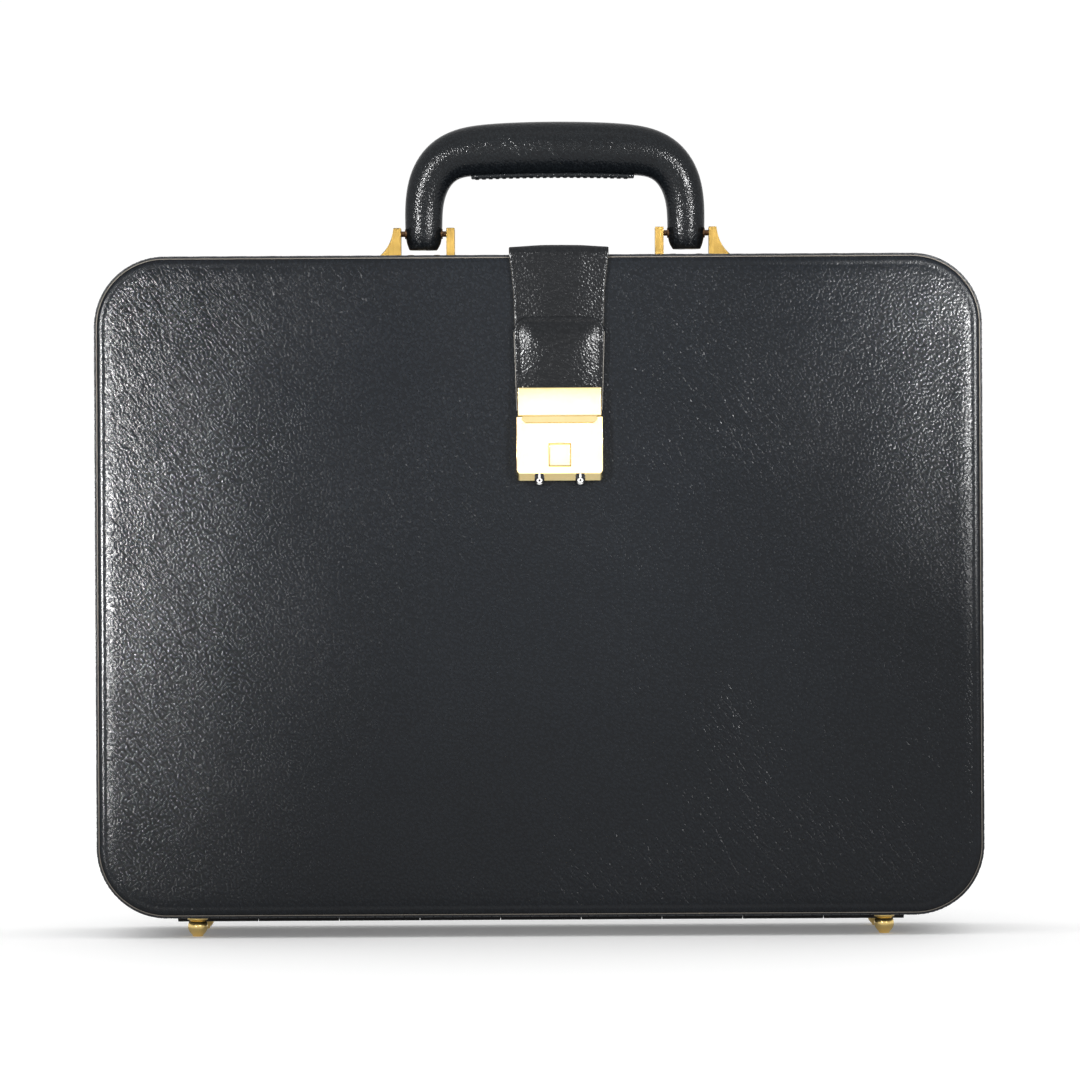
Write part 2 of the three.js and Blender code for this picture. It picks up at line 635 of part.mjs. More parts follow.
function lockCavity() {
  const half = LOCK_WIDTH / 2 - LOCK_SIDE;
  const front = LOCK_FACE + LOCK_WALL;
  const low = LOCK_BOTTOM + LOCK_WALL;
  const cut = LOCK_CHAMFER - LOCK_WALL * (Math.SQRT2 - 1) + 0.4;
  const side = polygon([
    [front, LOCK_TOP - LOCK_HEAD],
    [front, low + cut],
    [front + cut, low],
    [PANEL_FACE, low],
    [PANEL_FACE, LOCK_TOP - LOCK_HEAD],
  ]);
  return slabYZ(side, FITTINGS_X - half, FITTINGS_X + half);
}

function buttonZ() {
  return LOCK_BOTTOM + BUTTON_UP;
}

function dialY() {
  return LOCK_FACE + DIAL_BEHIND_FACE + DIAL_RADIUS;
}

function latchY() {
  return HASP_FACE + LIP_THICKNESS + (HOOK_REACH - LATCH_THICKNESS) / 2;
}

function lockCaseSolid() {
  const b = BUTTON_WIDTH / 2 + GAP;
  const h = BUTTON_HEIGHT / 2 + GAP;
  const dial = DIAL_WIDTH / 2 + GAP;
  const lipHalf = LIP_WIDTH / 2 + GAP;
  const hookHalf = HOOK_WIDTH / 2 + GAP;
  const lipBack = HASP_FACE + LIP_THICKNESS + GAP;
  const latch = LATCH_WIDTH / 2 + GAP;
  const hookLow = LOCK_LIP_Z + 1;
  const z = buttonZ();
  let solid = lockBlock().subtract(lockCavity());
  solid = solid.subtract(box(FITTINGS_X - b, FITTINGS_X + b, LOCK_FACE - 1, LOCK_FACE + 3, z - h, z + h));
  solid = solid.subtract(rodY(BUTTON_RECESS_RADIUS, FITTINGS_X, LOCK_FACE - 1, LOCK_FACE + BUTTON_RECESS, z, 32));
  solid = solid.subtract(
    box(FITTINGS_X - lipHalf, FITTINGS_X + lipHalf, LOCK_FACE - 1, lipBack, LOCK_LIP_Z, LOCK_TOP + 1));
  solid = solid.subtract(
    box(FITTINGS_X - hookHalf, FITTINGS_X + hookHalf, lipBack - 1, lipBack + HOOK_REACH + GAP,
      hookLow, LOCK_TOP + 1));
  solid = solid.subtract(
    box(FITTINGS_X - latch, FITTINGS_X + latch, latchY() - GAP, latchY() + LATCH_THICKNESS + GAP,
      LOCK_TOP - LOCK_HEAD - 1, hookLow + 1));
  for (const sign of [-1, 1]) {
    const x = FITTINGS_X + sign * DIAL_FROM_CENTRE;
    const high = LOCK_BOTTOM + LOCK_CHAMFER;
    solid = solid.subtract(
      box(x - dial, x + dial, LOCK_FACE - 1, PANEL_FACE, LOCK_BOTTOM - 1, high));
    solid = solid.subtract(
      box(x - dial, x + dial, LOCK_FACE + LOCK_WALL, PANEL_FACE, LOCK_BOTTOM, high + DIAL_RADIUS));
  }
  const axle = LOCK_WIDTH / 2 - LOCK_SIDE + LOCK_SIDE / 2;
  return solid.subtract(
    rodX(DIAL_AXLE_RADIUS + RUNNING, FITTINGS_X - axle, FITTINGS_X + axle, dialY(), LOCK_BOTTOM + DIAL_UP, 12));
}

function lockBackSolid() {
  const half = LOCK_WIDTH / 2;
  return box(FITTINGS_X - half, FITTINGS_X + half, PANEL_FACE - LOCK_BACK, PANEL_FACE,
    LOCK_BOTTOM + LOCK_CORNER, LOCK_TOP);
}

function addLock() {
  const axle = LOCK_WIDTH / 2 - LOCK_SIDE + LOCK_SIDE / 2;
  const axleZ = LOCK_BOTTOM + DIAL_UP;
  add("lock_case", lockCaseSolid(), "brass");
  add("lock_back", lockBackSolid(), "brass");
  add("dial_axle", rodX(DIAL_AXLE_RADIUS, FITTINGS_X - axle, FITTINGS_X + axle, dialY(), axleZ, 12), "steel");
}

// Ten-sided number wheels that turn on the axle.
function addDials() {
  for (const [side, sign] of SIDES) {
    const x = FITTINGS_X + sign * DIAL_FROM_CENTRE;
    const half = DIAL_WIDTH / 2;
    const z = LOCK_BOTTOM + DIAL_UP;
    const wheel = rodX(DIAL_RADIUS, x - half, x + half, dialY(), z, 30);
    const bore = rodX(DIAL_AXLE_RADIUS + RUNNING, x - half - 1, x + half + 1, dialY(), z, 12);
    add(`dial_${side}`, wheel.subtract(bore), "dial");
  }
}

// The square push button, its return spring and the latch bar that it draws down.
function addButton() {
  const w = BUTTON_WIDTH / 2;
  const h = BUTTON_HEIGHT / 2;
  const z = buttonZ();
  const inside = LOCK_FACE + LOCK_WALL;
  const rim = BUTTON_FLANGE_RIM;
  const cap = box(FITTINGS_X - w, FITTINGS_X + w, LOCK_FACE - BUTTON_PROUD, inside + BUTTON_FLANGE, z - h, z + h);
  const flange = box(
    FITTINGS_X - w - rim, FITTINGS_X + w + rim, inside, inside + BUTTON_FLANGE, z - h - rim, z + h + rim);
  add("lock_button", cap.add(flange), "brass");
}

class Helix extends THREE.Curve {
  constructor(x, y0, y1, z, radius, turns) {
    super();
    Object.assign(this, { x, y0, y1, z, radius, turns });
  }
  getPoint(t, target = new THREE.Vector3()) {
    const angle = 2 * Math.PI * this.turns * t;
    const y = this.y0 + (this.y1 - this.y0) * t;
    return target.set(this.x + this.radius * Math.cos(angle), y, this.z + this.radius * Math.sin(angle));
  }
}

function addButtonSpring() {
  const near = LOCK_FACE + LOCK_WALL + BUTTON_FLANGE + SPRING_WIRE + 0.05;
  const far = PANEL_FACE - LOCK_BACK - SPRING_WIRE - 0.05;
  const path = new Helix(FITTINGS_X, near, far, buttonZ(), SPRING_RADIUS, SPRING_TURNS);
  const wire = new THREE.Shape();
  wire.absarc(0, 0, SPRING_WIRE, 0, 2 * Math.PI);
  const steps = SPRING_TURNS * 12;
  const geometry = new THREE.ExtrudeGeometry(wire, { steps, extrudePath: path, curveSegments: 3 });
  add("button_spring", toSolid(geometry), "steel");
}

function addLatch() {
  const half = LATCH_WIDTH / 2;
  const high = LOCK_LIP_Z + 1 + GAP / 3;
  const latch = box(
    FITTINGS_X - half, FITTINGS_X + half, latchY(), latchY() + LATCH_THICKNESS, high - LATCH_LENGTH, high);
  add("lock_latch", latch, "steel");
}

// Handle brackets: a plate on the case top with an inner and an outer ear, and a pin between them.

function bracketSolid(sign) {
  const arm = sign * ARM_FROM_CENTRE;
  const inner = arm - sign * EAR_GAP / 2;
  const outer = arm + sign * EAR_GAP / 2;
  const base = TOP;
  const high = TOP + EAR_UP;
  const y0 = PIN_BEHIND_CENTRE - EAR_DEPTH / 2;
  const y1 = PIN_BEHIND_CENTRE + EAR_DEPTH / 2;
  const plateY0 = PIN_BEHIND_CENTRE - BRACKET_DEPTH / 2;
  const ends = [inner - sign * EAR_INNER, outer + sign * (EAR_OUTER + EAR_FOOT)].sort((a, b) => a - b);
  const plate = box(
    HANDLE_X + ends[0], HANDLE_X + ends[1], plateY0, plateY0 + BRACKET_DEPTH, base, base + BRACKET_PLATE);
  const innerEar = [inner - sign * EAR_INNER, inner].sort((a, b) => a - b);
  const ear = box(HANDLE_X + innerEar[0], HANDLE_X + innerEar[1], y0, y1, base, high);
  return joinAll([plate, ear, outerEar(sign, outer, base, high, y0, y1)]);
}

// The outer ear is upright on its inside and sweeps out to a wide foot.
function outerEar(sign, x, base, high, y0, y1) {
  const shape = new THREE.Shape();
  const at = (out) => HANDLE_X + x + sign * out;
  shape.moveTo(at(0), base);
  shape.lineTo(at(0), high);
  shape.lineTo(at(EAR_OUTER), high);
  shape.quadraticCurveTo(at(EAR_OUTER + 1), base + 5, at(EAR_OUTER + EAR_FOOT), base);
  return slabXZ(shape, y0, y1, 8);
}

function pinSpan(sign) {
  const centre = HANDLE_X + sign * ARM_FROM_CENTRE;
  const half = EAR_GAP / 2 + Math.min(EAR_INNER, EAR_OUTER) / 2;
  return [centre - half, centre + half];
}

function screwXs(sign) {
  const centre = HANDLE_X + sign * ARM_FROM_CENTRE;
  return [centre - SCREW_SPACING / 2, centre + SCREW_SPACING / 2];
}

function addBrackets() {
  for (const [side, sign] of SIDES) {
    const [x0, x1] = pinSpan(sign);
    const hole = rodX(PIN_RADIUS, x0, x1, PIN_BEHIND_CENTRE, PIN_Z, 16);
    const pin = rodX(PIN_RADIUS - RUNNING, x0 + GAP, x1 - GAP, PIN_BEHIND_CENTRE, PIN_Z, 16);
    add(`bracket_${side}`, bracketSolid(sign).subtract(hole), "brass");
    add(`handle_pin_${side}`, pin, "steel");
    screwXs(sign).forEach((x, index) => {
      const geometry = new THREE.CylinderGeometry(SCREW_HEAD_RADIUS - 0.6, SCREW_HEAD_RADIUS, SCREW_HEAD, 16);
      geometry.rotateX(Math.PI / 2);
      geometry.translate(x, PIN_BEHIND_CENTRE, TOP + BRACKET_PLATE + SCREW_HEAD / 2);
      add(`bracket_screw_${side}_${index + 1}`, toSolid(geometry), "brass");
    });
  }
}

// The handle: a bowed grip with two arms, bored for the pins and bushed with brass.

function handleOutline() {
  const half = ARM_WIDTH / 2;
  const out = ARM_FROM_CENTRE + half;
  const inn = ARM_FROM_CENTRE - half;
  const low = PIN_Z - ARM_DOWN;
  const at = (x, up) => [HANDLE_X + x, PIN_Z + up];
  const shape = new THREE.Shape();
  shape.moveTo(...at(-inn, -ARM_DOWN + 2));
  shape.quadraticCurveTo(...at(-inn, -ARM_DOWN), ...at(-inn - 3, -ARM_DOWN));
  shape.lineTo(HANDLE_X - out + 3, low);
  shape.quadraticCurveTo(...at(-out, -ARM_DOWN), ...at(-out, -ARM_DOWN + 3));
  shape.lineTo(...at(-out, 9));
  shape.bezierCurveTo(...at(-out, GRIP_UP * 0.62), ...at(-out * 0.9, GRIP_UP * 0.92), ...at(-37, GRIP_UP - 1.5));
  shape.quadraticCurveTo(...at(0, GRIP_UP + 1.4), ...at(37, GRIP_UP - 1.5));
  shape.bezierCurveTo(...at(out * 0.9, GRIP_UP * 0.92), ...at(out, GRIP_UP * 0.62), ...at(out, 9));
  shape.lineTo(...at(out, -ARM_DOWN + 3));
  shape.quadraticCurveTo(...at(out, -ARM_DOWN), ...at(out - 3, -ARM_DOWN));
  shape.lineTo(HANDLE_X + inn + 3, low);
  shape.quadraticCurveTo(...at(inn, -ARM_DOWN), ...at(inn, -ARM_DOWN + 2));
  shape.lineTo(...at(inn, 14));
  shape.bezierCurveTo(...at(inn, GRIP_UNDER * 0.85), ...at(inn - 7, GRIP_UNDER - 1), ...at(38, GRIP_UNDER - 0.5));
  shape.lineTo(...at(-38, GRIP_UNDER - 0.5));
  shape.bezierCurveTo(...at(-inn + 7, GRIP_UNDER - 1), ...at(-inn, GRIP_UNDER * 0.85), ...at(-inn, 14));
  return shape;
}

// The arms end in a half round about the pins, so that they clear the plates and screws as they swing.
function handleSolid() {
  const y0 = PIN_BEHIND_CENTRE - HANDLE_DEPTH / 2;
  const y1 = PIN_BEHIND_CENTRE + HANDLE_DEPTH / 2;
  const x0 = HANDLE_X - 2 * ARM_FROM_CENTRE;
  const x1 = HANDLE_X + 2 * ARM_FROM_CENTRE;
  const whole = slabXZ(handleOutline(), y0, y1, 8);
  const above = whole.intersect(box(x0, x1, y0, y1, PIN_Z, PIN_Z + 2 * GRIP_UP));
  const below = whole.intersect(rodX(ARM_DOWN + GAP, x0, x1, PIN_BEHIND_CENTRE, PIN_Z, 24));
  let solid = above.add(below);
  for (const sign of [-1, 1]) {
    const x = HANDLE_X + sign * ARM_FROM_CENTRE;
    const reach = EAR_GAP / 2;
    solid = solid.subtract(
      rodX(PIN_RADIUS + BUSH_WALL + RUNNING, x - reach, x + reach, PIN_BEHIND_CENTRE, PIN_Z, 16));
  }
  return solid;
}

function addHandle() {
  add("handle_grip", handleSolid(), "leather");
  for (const [side, sign] of SIDES) {
    const x = HANDLE_X + sign * ARM_FROM_CENTRE;
    const half = ARM_WIDTH / 2;
    const outer = rodX(PIN_RADIUS + BUSH_WALL, x - half, x + half, PIN_BEHIND_CENTRE, PIN_Z, 16);
    const bore = rodX(PIN_RADIUS, x - half - 1, x + half + 1, PIN_BEHIND_CENTRE, PIN_Z, 16);
    add(`handle_bush_${side}`, outer.subtract(bore), "brass");
  }
}

addBaseHalf();
addDustLip();
addLidHalf();
addLidPocket();
addFeet();
addHinge();
addStays();
addSideRivets();
addStrapRoot();
addStrapFlap();
addLock();
addDials();
addButton();
addButtonSpring();
addLatch();
addBrackets();
addHandle();

export default group;
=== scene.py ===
import json
import math

import bpy
from mathutils import Matrix, Vector

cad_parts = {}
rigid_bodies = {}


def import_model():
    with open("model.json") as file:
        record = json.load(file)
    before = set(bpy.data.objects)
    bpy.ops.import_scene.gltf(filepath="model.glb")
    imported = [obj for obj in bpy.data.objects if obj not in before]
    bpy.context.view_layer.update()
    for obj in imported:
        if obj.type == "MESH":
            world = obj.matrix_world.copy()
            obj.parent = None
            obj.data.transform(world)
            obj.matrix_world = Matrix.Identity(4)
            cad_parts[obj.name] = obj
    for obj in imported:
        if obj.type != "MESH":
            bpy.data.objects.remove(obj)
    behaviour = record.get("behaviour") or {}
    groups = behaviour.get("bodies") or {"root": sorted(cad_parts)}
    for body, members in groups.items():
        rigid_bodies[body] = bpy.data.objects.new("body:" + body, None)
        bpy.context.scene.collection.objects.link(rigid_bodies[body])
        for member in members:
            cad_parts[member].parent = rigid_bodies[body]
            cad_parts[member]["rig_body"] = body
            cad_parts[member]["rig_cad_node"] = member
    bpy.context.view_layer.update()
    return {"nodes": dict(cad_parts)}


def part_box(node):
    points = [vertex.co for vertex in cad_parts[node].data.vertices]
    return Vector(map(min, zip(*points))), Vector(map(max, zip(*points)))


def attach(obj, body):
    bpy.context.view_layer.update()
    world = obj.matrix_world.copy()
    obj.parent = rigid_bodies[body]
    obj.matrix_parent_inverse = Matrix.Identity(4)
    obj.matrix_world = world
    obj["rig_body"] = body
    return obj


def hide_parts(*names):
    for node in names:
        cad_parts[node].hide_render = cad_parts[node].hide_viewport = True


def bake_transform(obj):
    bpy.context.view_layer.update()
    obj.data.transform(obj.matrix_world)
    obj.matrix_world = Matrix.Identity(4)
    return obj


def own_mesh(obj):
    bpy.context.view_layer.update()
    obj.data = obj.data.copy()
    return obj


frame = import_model()
nodes = frame["nodes"]
MM = 0.001


# ---------------------------------------------------------------------------------------------------------
# The studio: a pale floor, a white room and soft boxes. The case stands square to a long lens.
# ---------------------------------------------------------------------------------------------------------

def only(*pieces):
    """Selects these pieces and nothing else."""
    if bpy.context.object and bpy.context.object.mode != "OBJECT":
        bpy.ops.object.mode_set(mode="OBJECT")
    bpy.ops.object.select_all(action="DESELECT")
    for piece in pieces:
        piece.select_set(True)
    bpy.context.view_layer.objects.active = pieces[0] if pieces else None


only()
bpy.context.scene.view_settings.view_transform = "Standard"

LENS_MM = 195.3
CAMERA_PLACE = Vector((0.5, -2946, 196.6)) * MM
CAMERA_ROLL_DEG = 0.3
bpy.ops.object.camera_add(location=CAMERA_PLACE, rotation=(math.pi / 2, math.radians(CAMERA_ROLL_DEG), 0))
camera = bpy.context.object
camera.name = "studio_camera"
camera.data.lens = LENS_MM
camera.data.clip_end = 60
bpy.context.scene.camera = camera


class Wire:
    """One socket in a material. Sums written on it add Math nodes, and node() adds any other node."""

    def __init__(self, tree, socket=None):
        self.tree = tree
        self.socket = socket

    def node(self, kind, settings=None, inputs=None, output=0):
        made = self.tree.nodes.new(kind)
        for name, value in (settings or {}).items():
            if name == "stops":
                ramp = made.color_ramp
                while len(ramp.elements) < len(value):
                    ramp.elements.new(1.0)
                for element, (place, colour) in zip(ramp.elements, value):
                    element.position = place
                    element.color = colour
            else:
                setattr(made, name, value)
        for name, value in (inputs or {}).items():
            if isinstance(value, Wire):
                self.tree.links.new(made.inputs[name], value.socket)
            else:
                made.inputs[name].default_value = value
        return Wire(self.tree, made.outputs[output]) if made.outputs else None

    def math(self, operation, *values):
        return self.node("ShaderNodeMath", {"operation": operation}, dict(enumerate(values)))

    def __add__(self, other):
        return self.math("ADD", self, other)

    def __radd__(self, other):
        return self.math("ADD", other, self)

    def __sub__(self, other):
        return self.math("SUBTRACT", self, other)

    def __rsub__(self, other):
        return self.math("SUBTRACT", other, self)

    def __mul__(self, other):
        return self.math("MULTIPLY", self, other)

    def __rmul__(self, other):
        return self.math("MULTIPLY", other, self)

    def __truediv__(self, other):
        return self.math("DIVIDE", self, other)

    def between(self, low, high):
        """0 below low, 1 above high, smooth between them."""
        settings = {"interpolation_type": "SMOOTHSTEP"}
        return self.node("ShaderNodeMapRange", settings, {"Value": self, "From Min": low, "From Max": high})

    def colours(self, low, high):
        """The first colour at 0 and the second at 1."""
        return self.node("ShaderNodeMix", {"data_type": "RGBA"}, {0: self, 6: low, 7: high}, output=2)

    def noise(self, scale, detail=2.0, roughness=0.5):
        """Noise at this many bumps to the metre, where self is a place."""
        inputs = {"Vector": self, "Scale": scale, "Detail": detail, "Roughness": roughness}
        return self.node("ShaderNodeTexNoise", None, inputs)

    def turned(self, degrees=(0, 0, 0), scale=(1, 1, 1)):
        """A place turned about the three axes and then stretched."""
        radians = [math.radians(value) for value in degrees]
        turn = self.node("ShaderNodeMapping", None, {"Vector": self, "Rotation": radians})
        return self.node("ShaderNodeMapping", None, {"Vector": turn, "Scale": scale})


def new_material(name):
    """An empty material, and the place on the piece that its patterns start from."""
    material = bpy.data.materials.new(name)
    material.use_nodes = True
    material.node_tree.nodes.clear()
    place = Wire(material.node_tree).node("ShaderNodeTexCoord", output="Object")
    return material, place


def finish_material(place, height=None, lift=0.0001, strength=1.0, **inputs):
    """Ends a material in a Principled shader; height is the relief in parts of lift, in metres."""
    named = {key.replace("_", " "): value for key, value in inputs.items()}
    if height is not None:
        named["Normal"] = place.node(
            "ShaderNodeBump", None, {"Height": height, "Distance": lift, "Strength": strength})
    shader = place.node("ShaderNodeBsdfPrincipled", None, named)
    place.node("ShaderNodeOutputMaterial", None, {"Surface": shader})


FLOOR_HALF = 15
# the floor is lit a little from below, so that the shadow on it stays pale
FLOOR_GLOW = 0.14
bpy.ops.mesh.primitive_plane_add(size=2 * FLOOR_HALF)
floor = bpy.context.object
floor.name = "studio_floor"
paper, place = new_material("studio_paper")
mottle = place.noise(6).colours((0.95, 0.95, 0.95, 1), (0.98, 0.98, 0.98, 1))
finish_material(
    place, Base_Color=mottle, Roughness=0.9, Emission_Color=(1, 1, 1, 1), Emission_Strength=FLOOR_GLOW)
floor.data.materials.append(paper)

world = bpy.data.worlds.new("studio_room")
world.use_nodes = True
world.node_tree.nodes["Background"].inputs["Color"].default_value = (1, 1, 1, 1)
world.node_tree.nodes["Background"].inputs["Strength"].default_value = 1.03
bpy.context.scene.world = world


def soft_box(name, place, aim, size, watts, spread=180):
    """A soft box of this size in metres that faces its aim, with a grid that holds its light to spread."""
    turn = (Vector(aim) - Vector(place)).to_track_quat("-Z", "Y").to_euler()
    bpy.ops.object.light_add(type="AREA", location=place, rotation=turn)
    light = bpy.context.object
    light.name = name
    light.data.shape = "RECTANGLE"
    light.data.size, light.data.size_y = size
    light.data.energy = watts
    light.data.spread = math.radians(spread)
    light.visible_camera = False


soft_box("front_box", (0.023, -3.6, 0.303), (0.01, 0, 0.24), (0.16, 0.17), 0.36)
soft_box("left_box", (-0.85, -2.3, 0.2), (-0.37, 0, 0.22), (0.3, 0.25), 0.6, 8)
soft_box("right_box", (0.85, -2.3, 0.2), (0.40, 0, 0.43), (0.3, 0.25), 2.4, 9)
soft_box("strap_left_box", (-1.15, -2.3, 0.60), (0.0, -0.05, 0.33), (0.25, 0.4), 0.45, 10)
soft_box("strap_right_box", (1.15, -2.3, 0.60), (0.02, -0.05, 0.32), (0.25, 0.4), 0.35, 10)
soft_box("top_box", (0, -1.3, 2.1), (0, 0, 0.33), (1.2, 0.4), 1.0)
soft_box("back_left_box", (-0.9, 2.3, 0.8), (-0.2, 0, 0.25), (0.3, 0.6), 0.8)
soft_box("back_right_box", (0.8, 2.4, 0.9), (0.2, 0, 0.25), (0.3, 0.6), 0.8)


# ---------------------------------------------------------------------------------------------------------
# Leather covers of the lid and the base: black calf over board, its cut edge left showing all round, a
# smooth rolled margin inside it, and a pebbled face with soft growth wrinkles in scattered patches.
# ---------------------------------------------------------------------------------------------------------

CORNER = 35 * MM
CORNER_STEPS = 24
COVER_INSET = 1.2 * MM
GRID_STEP = 7 * MM
lid_low, lid_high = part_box("lid_band")
HALF_WIDTH = (lid_high[0] - lid_low[0]) / 2
HALF_HEIGHT = (lid_high[2] - lid_low[2]) / 2
MID_HEIGHT = (lid_high[2] + lid_low[2]) / 2


def settle(piece):
    """Closes a piece's mesh and leaves the piece at the origin, unturned."""
    only(piece)
    bpy.ops.object.transform_apply(location=True, rotation=True, scale=True)
    return piece


def pick(piece, kind, test):
    """Opens a piece with only the vertices, edges or faces that pass a test of place and normal chosen."""
    only(piece)
    mesh = piece.data
    bpy.ops.object.mode_set(mode="EDIT")
    bpy.ops.mesh.select_mode(type=kind)
    bpy.ops.mesh.select_all(action="DESELECT")
    bpy.ops.object.mode_set(mode="OBJECT")
    if kind == "VERT":
        for vertex in mesh.vertices:
            vertex.select = bool(test(vertex.co, vertex.normal))
    elif kind == "EDGE":
        for edge in mesh.edges:
            first, last = (mesh.vertices[index].co for index in edge.vertices)
            edge.select = bool(test((first + last) / 2, (last - first).normalized()))
    else:
        for face in mesh.polygons:
            face.select = bool(test(face.center, face.normal))
    bpy.ops.object.mode_set(mode="EDIT")


def pick_all(piece, kind="FACE"):
    pick(piece, kind, lambda at, normal: True)


def extrude(way):
    """Extrudes what is chosen by this much in metres."""
    bpy.ops.mesh.extrude_region_move(TRANSFORM_OT_translate={"value": way})


def face_out(piece):
    """Turns every face of a piece outwards."""
    pick_all(piece)
    bpy.ops.mesh.normals_make_consistent(inside=False)
    only(piece)


def modify(piece, kind, **settings):
    """Adds a modifier to a piece and applies it."""
    only(piece)
    modifier = piece.modifiers.new(kind.lower(), kind)
    for name, value in settings.items():
        setattr(modifier, name, value)
    bpy.ops.object.modifier_apply(modifier=modifier.name)


def round_edges(piece, width, segments, degrees):
    """Rounds the edges of a piece that turn by more than this."""
    limit = math.radians(degrees)
    modify(piece, "BEVEL", width=width, segments=segments, limit_method="ANGLE", angle_limit=limit)


def smooth(piece, degrees=35):
    only(piece)
    bpy.ops.object.shade_smooth_by_angle(angle=math.radians(degrees))


def outline_sheet(name, inset, y, facing):
    """A flat sheet in the case's outline, brought in by inset, that faces the front (-1) or the back (1)."""
    only()
    bpy.ops.mesh.primitive_plane_add(
        size=1, location=(0, y, MID_HEIGHT), rotation=(-facing * math.pi / 2, 0, 0))
    piece = bpy.context.object
    piece.name = name
    piece.scale = (2 * (HALF_WIDTH - inset), 2 * (HALF_HEIGHT - inset), 1)
    settle(piece)
    pick_all(piece, "VERT")
    bpy.ops.mesh.bevel(offset=CORNER - inset, segments=CORNER_STEPS, affect="VERTICES")
    only(piece)
    return piece


def from_edge(x, z):
    """How far inside the case's outline a point is."""
    right = abs(x) - (HALF_WIDTH - CORNER)
    up = abs(z - MID_HEIGHT) - (HALF_HEIGHT - CORNER)
    return CORNER - math.hypot(max(right, 0), max(up, 0)) - min(max(right, up), 0)


def fit(piece, material, body, slot, *replaced):
    """Gives a piece its material and the body it moves with, and hides the CAD pieces it stands for."""
    piece.data.materials.append(material)
    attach(piece, body)
    if replaced:
        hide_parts(*replaced)


def paint(piece, material, test):
    """Gives the faces that pass the test another material."""
    piece.data.materials.append(material)
    slot = len(piece.data.materials) - 1
    for face in piece.data.polygons:
        if test(face.center, face.normal):
            face.material_index = slot


def wire_from_edge(place):
    """from_edge() in a material, in metres."""
    x = place.node("ShaderNodeSeparateXYZ", None, {"Vector": place}, output=0)
    z = place.node("ShaderNodeSeparateXYZ", None, {"Vector": place}, output=2)
    right = x.math("ABSOLUTE", x) - (HALF_WIDTH - CORNER)
    up = x.math("ABSOLUTE", z - MID_HEIGHT) - (HALF_HEIGHT - CORNER)
    out_right = x.math("MAXIMUM", right, 0.0)
    out_up = x.math("MAXIMUM", up, 0.0)
    far = x.math("SQRT", out_right * out_right + out_up * out_up)
    inner = x.math("MINIMUM", x.math("MAXIMUM", right, up), 0.0)
    return CORNER - far - inner


def pebble(place, cells, stretch=(1, 1, 1), turn=(0, 0, 0)):
    """Leather grain: rounded pebbles with creases between them, 0 to 1, at this many to the metre."""
    wander = place.node("ShaderNodeTexNoise", None, {"Vector": place, "Scale": cells * 0.35}, output="Color")
    shift = place.node("ShaderNodeVectorMath", {"operation": "SCALE"}, {0: wander, "Scale": 0.9 / cells})
    bent = place.node("ShaderNodeVectorMath", {"operation": "ADD"}, {0: place, 1: shift})
    across = bent.turned(turn, stretch)
    inputs = {"Vector": across, "Scale": cells, "Smoothness": 0.35}
    cell = place.node("ShaderNodeTexVoronoi", {"feature": "SMOOTH_F1"}, inputs)
    return 1 - cell.between(0.15, 0.75)


def leather(name, dark, light, cells=800, lift=0.0001, gloss=0.18, rim=None):
    """Black calf. rim is where, in metres from the case's outline, the smooth margin turns into grain."""
    material, place = new_material(name)
    grain = pebble(place, cells, (1.0, 1.0, 0.75), (0, 24, 0))
    fine = place.noise(cells * 3.2, 2)
    wrinkle = place.turned((0, 38, 0), (1.0, 1.0, 0.22)).noise(210, 3, 0.6)
    patch = place.noise(9, 2).between(0.42, 0.66)
    crease = (1 - place.math("ABSOLUTE", wrinkle * 2 - 1).between(0.0, 0.16)) * patch
    swell = place.noise(28, 2)
    height = grain * 0.62 + fine * 0.05 - crease * 0.6 + swell * 5.0
    if rim:
        inside = wire_from_edge(place)
        margin = inside.between(*rim)
        height = (grain * 0.62 + fine * 0.05 - crease * 0.6) * (margin * 0.9 + 0.1) + swell * 5.0
    tint = (grain * 0.55 + place.noise(14, 3) * 0.45).colours(dark, light)
    rough = (gloss - 0.05) + fine * 0.08 + place.noise(17, 2) * 0.08
    finish_material(place, height, lift, 1.0, Base_Color=tint, Roughness=rough, Specular_IOR_Level=0.2)
    return material


def cut_edge(name, dark, light):
    """The cut edge of leather, sanded and stained: fibrous, in streaks along the thickness."""
    material, place = new_material(name)
    fibre = place.noise(900, 3, 0.65)
    lay = place.noise(160, 2)
    finish_material(
        place, fibre * 0.7 + lay * 0.3, 0.00012, 1.0,
        Base_Color=(fibre * 0.6 + lay * 0.4).colours(dark, light), Roughness=fibre * 0.2 + 0.42)
    return material


calf = leather("black_calf", (0.0015, 0.0022, 0.0034, 1), (0.0055, 0.0075, 0.0105, 1), rim=(3.2 * MM, 7 * MM))
edge_stain = cut_edge("stained_edge", (0.06, 0.052, 0.042, 1), (0.17, 0.15, 0.125, 1))

# each step inwards across the cover: how far in, and how far out from the board, in millimetres
COVER_STEPS = [
    (0.45, 0.25), (0.3, -0.3), (0.5, 0.25), (0.9, 0.2), (1.2, 0.05), (0.8, -0.14), (0.7, 0.05),
    (1.1, 0.14), (2.2, 0.08), (3.5, 0.02),
]
COVER_WALL = 1.0 * MM
EDGE_SHOWN = 1.55 * MM
RIM_WIDTH = 13 * MM
WAVE = 0.12 * MM


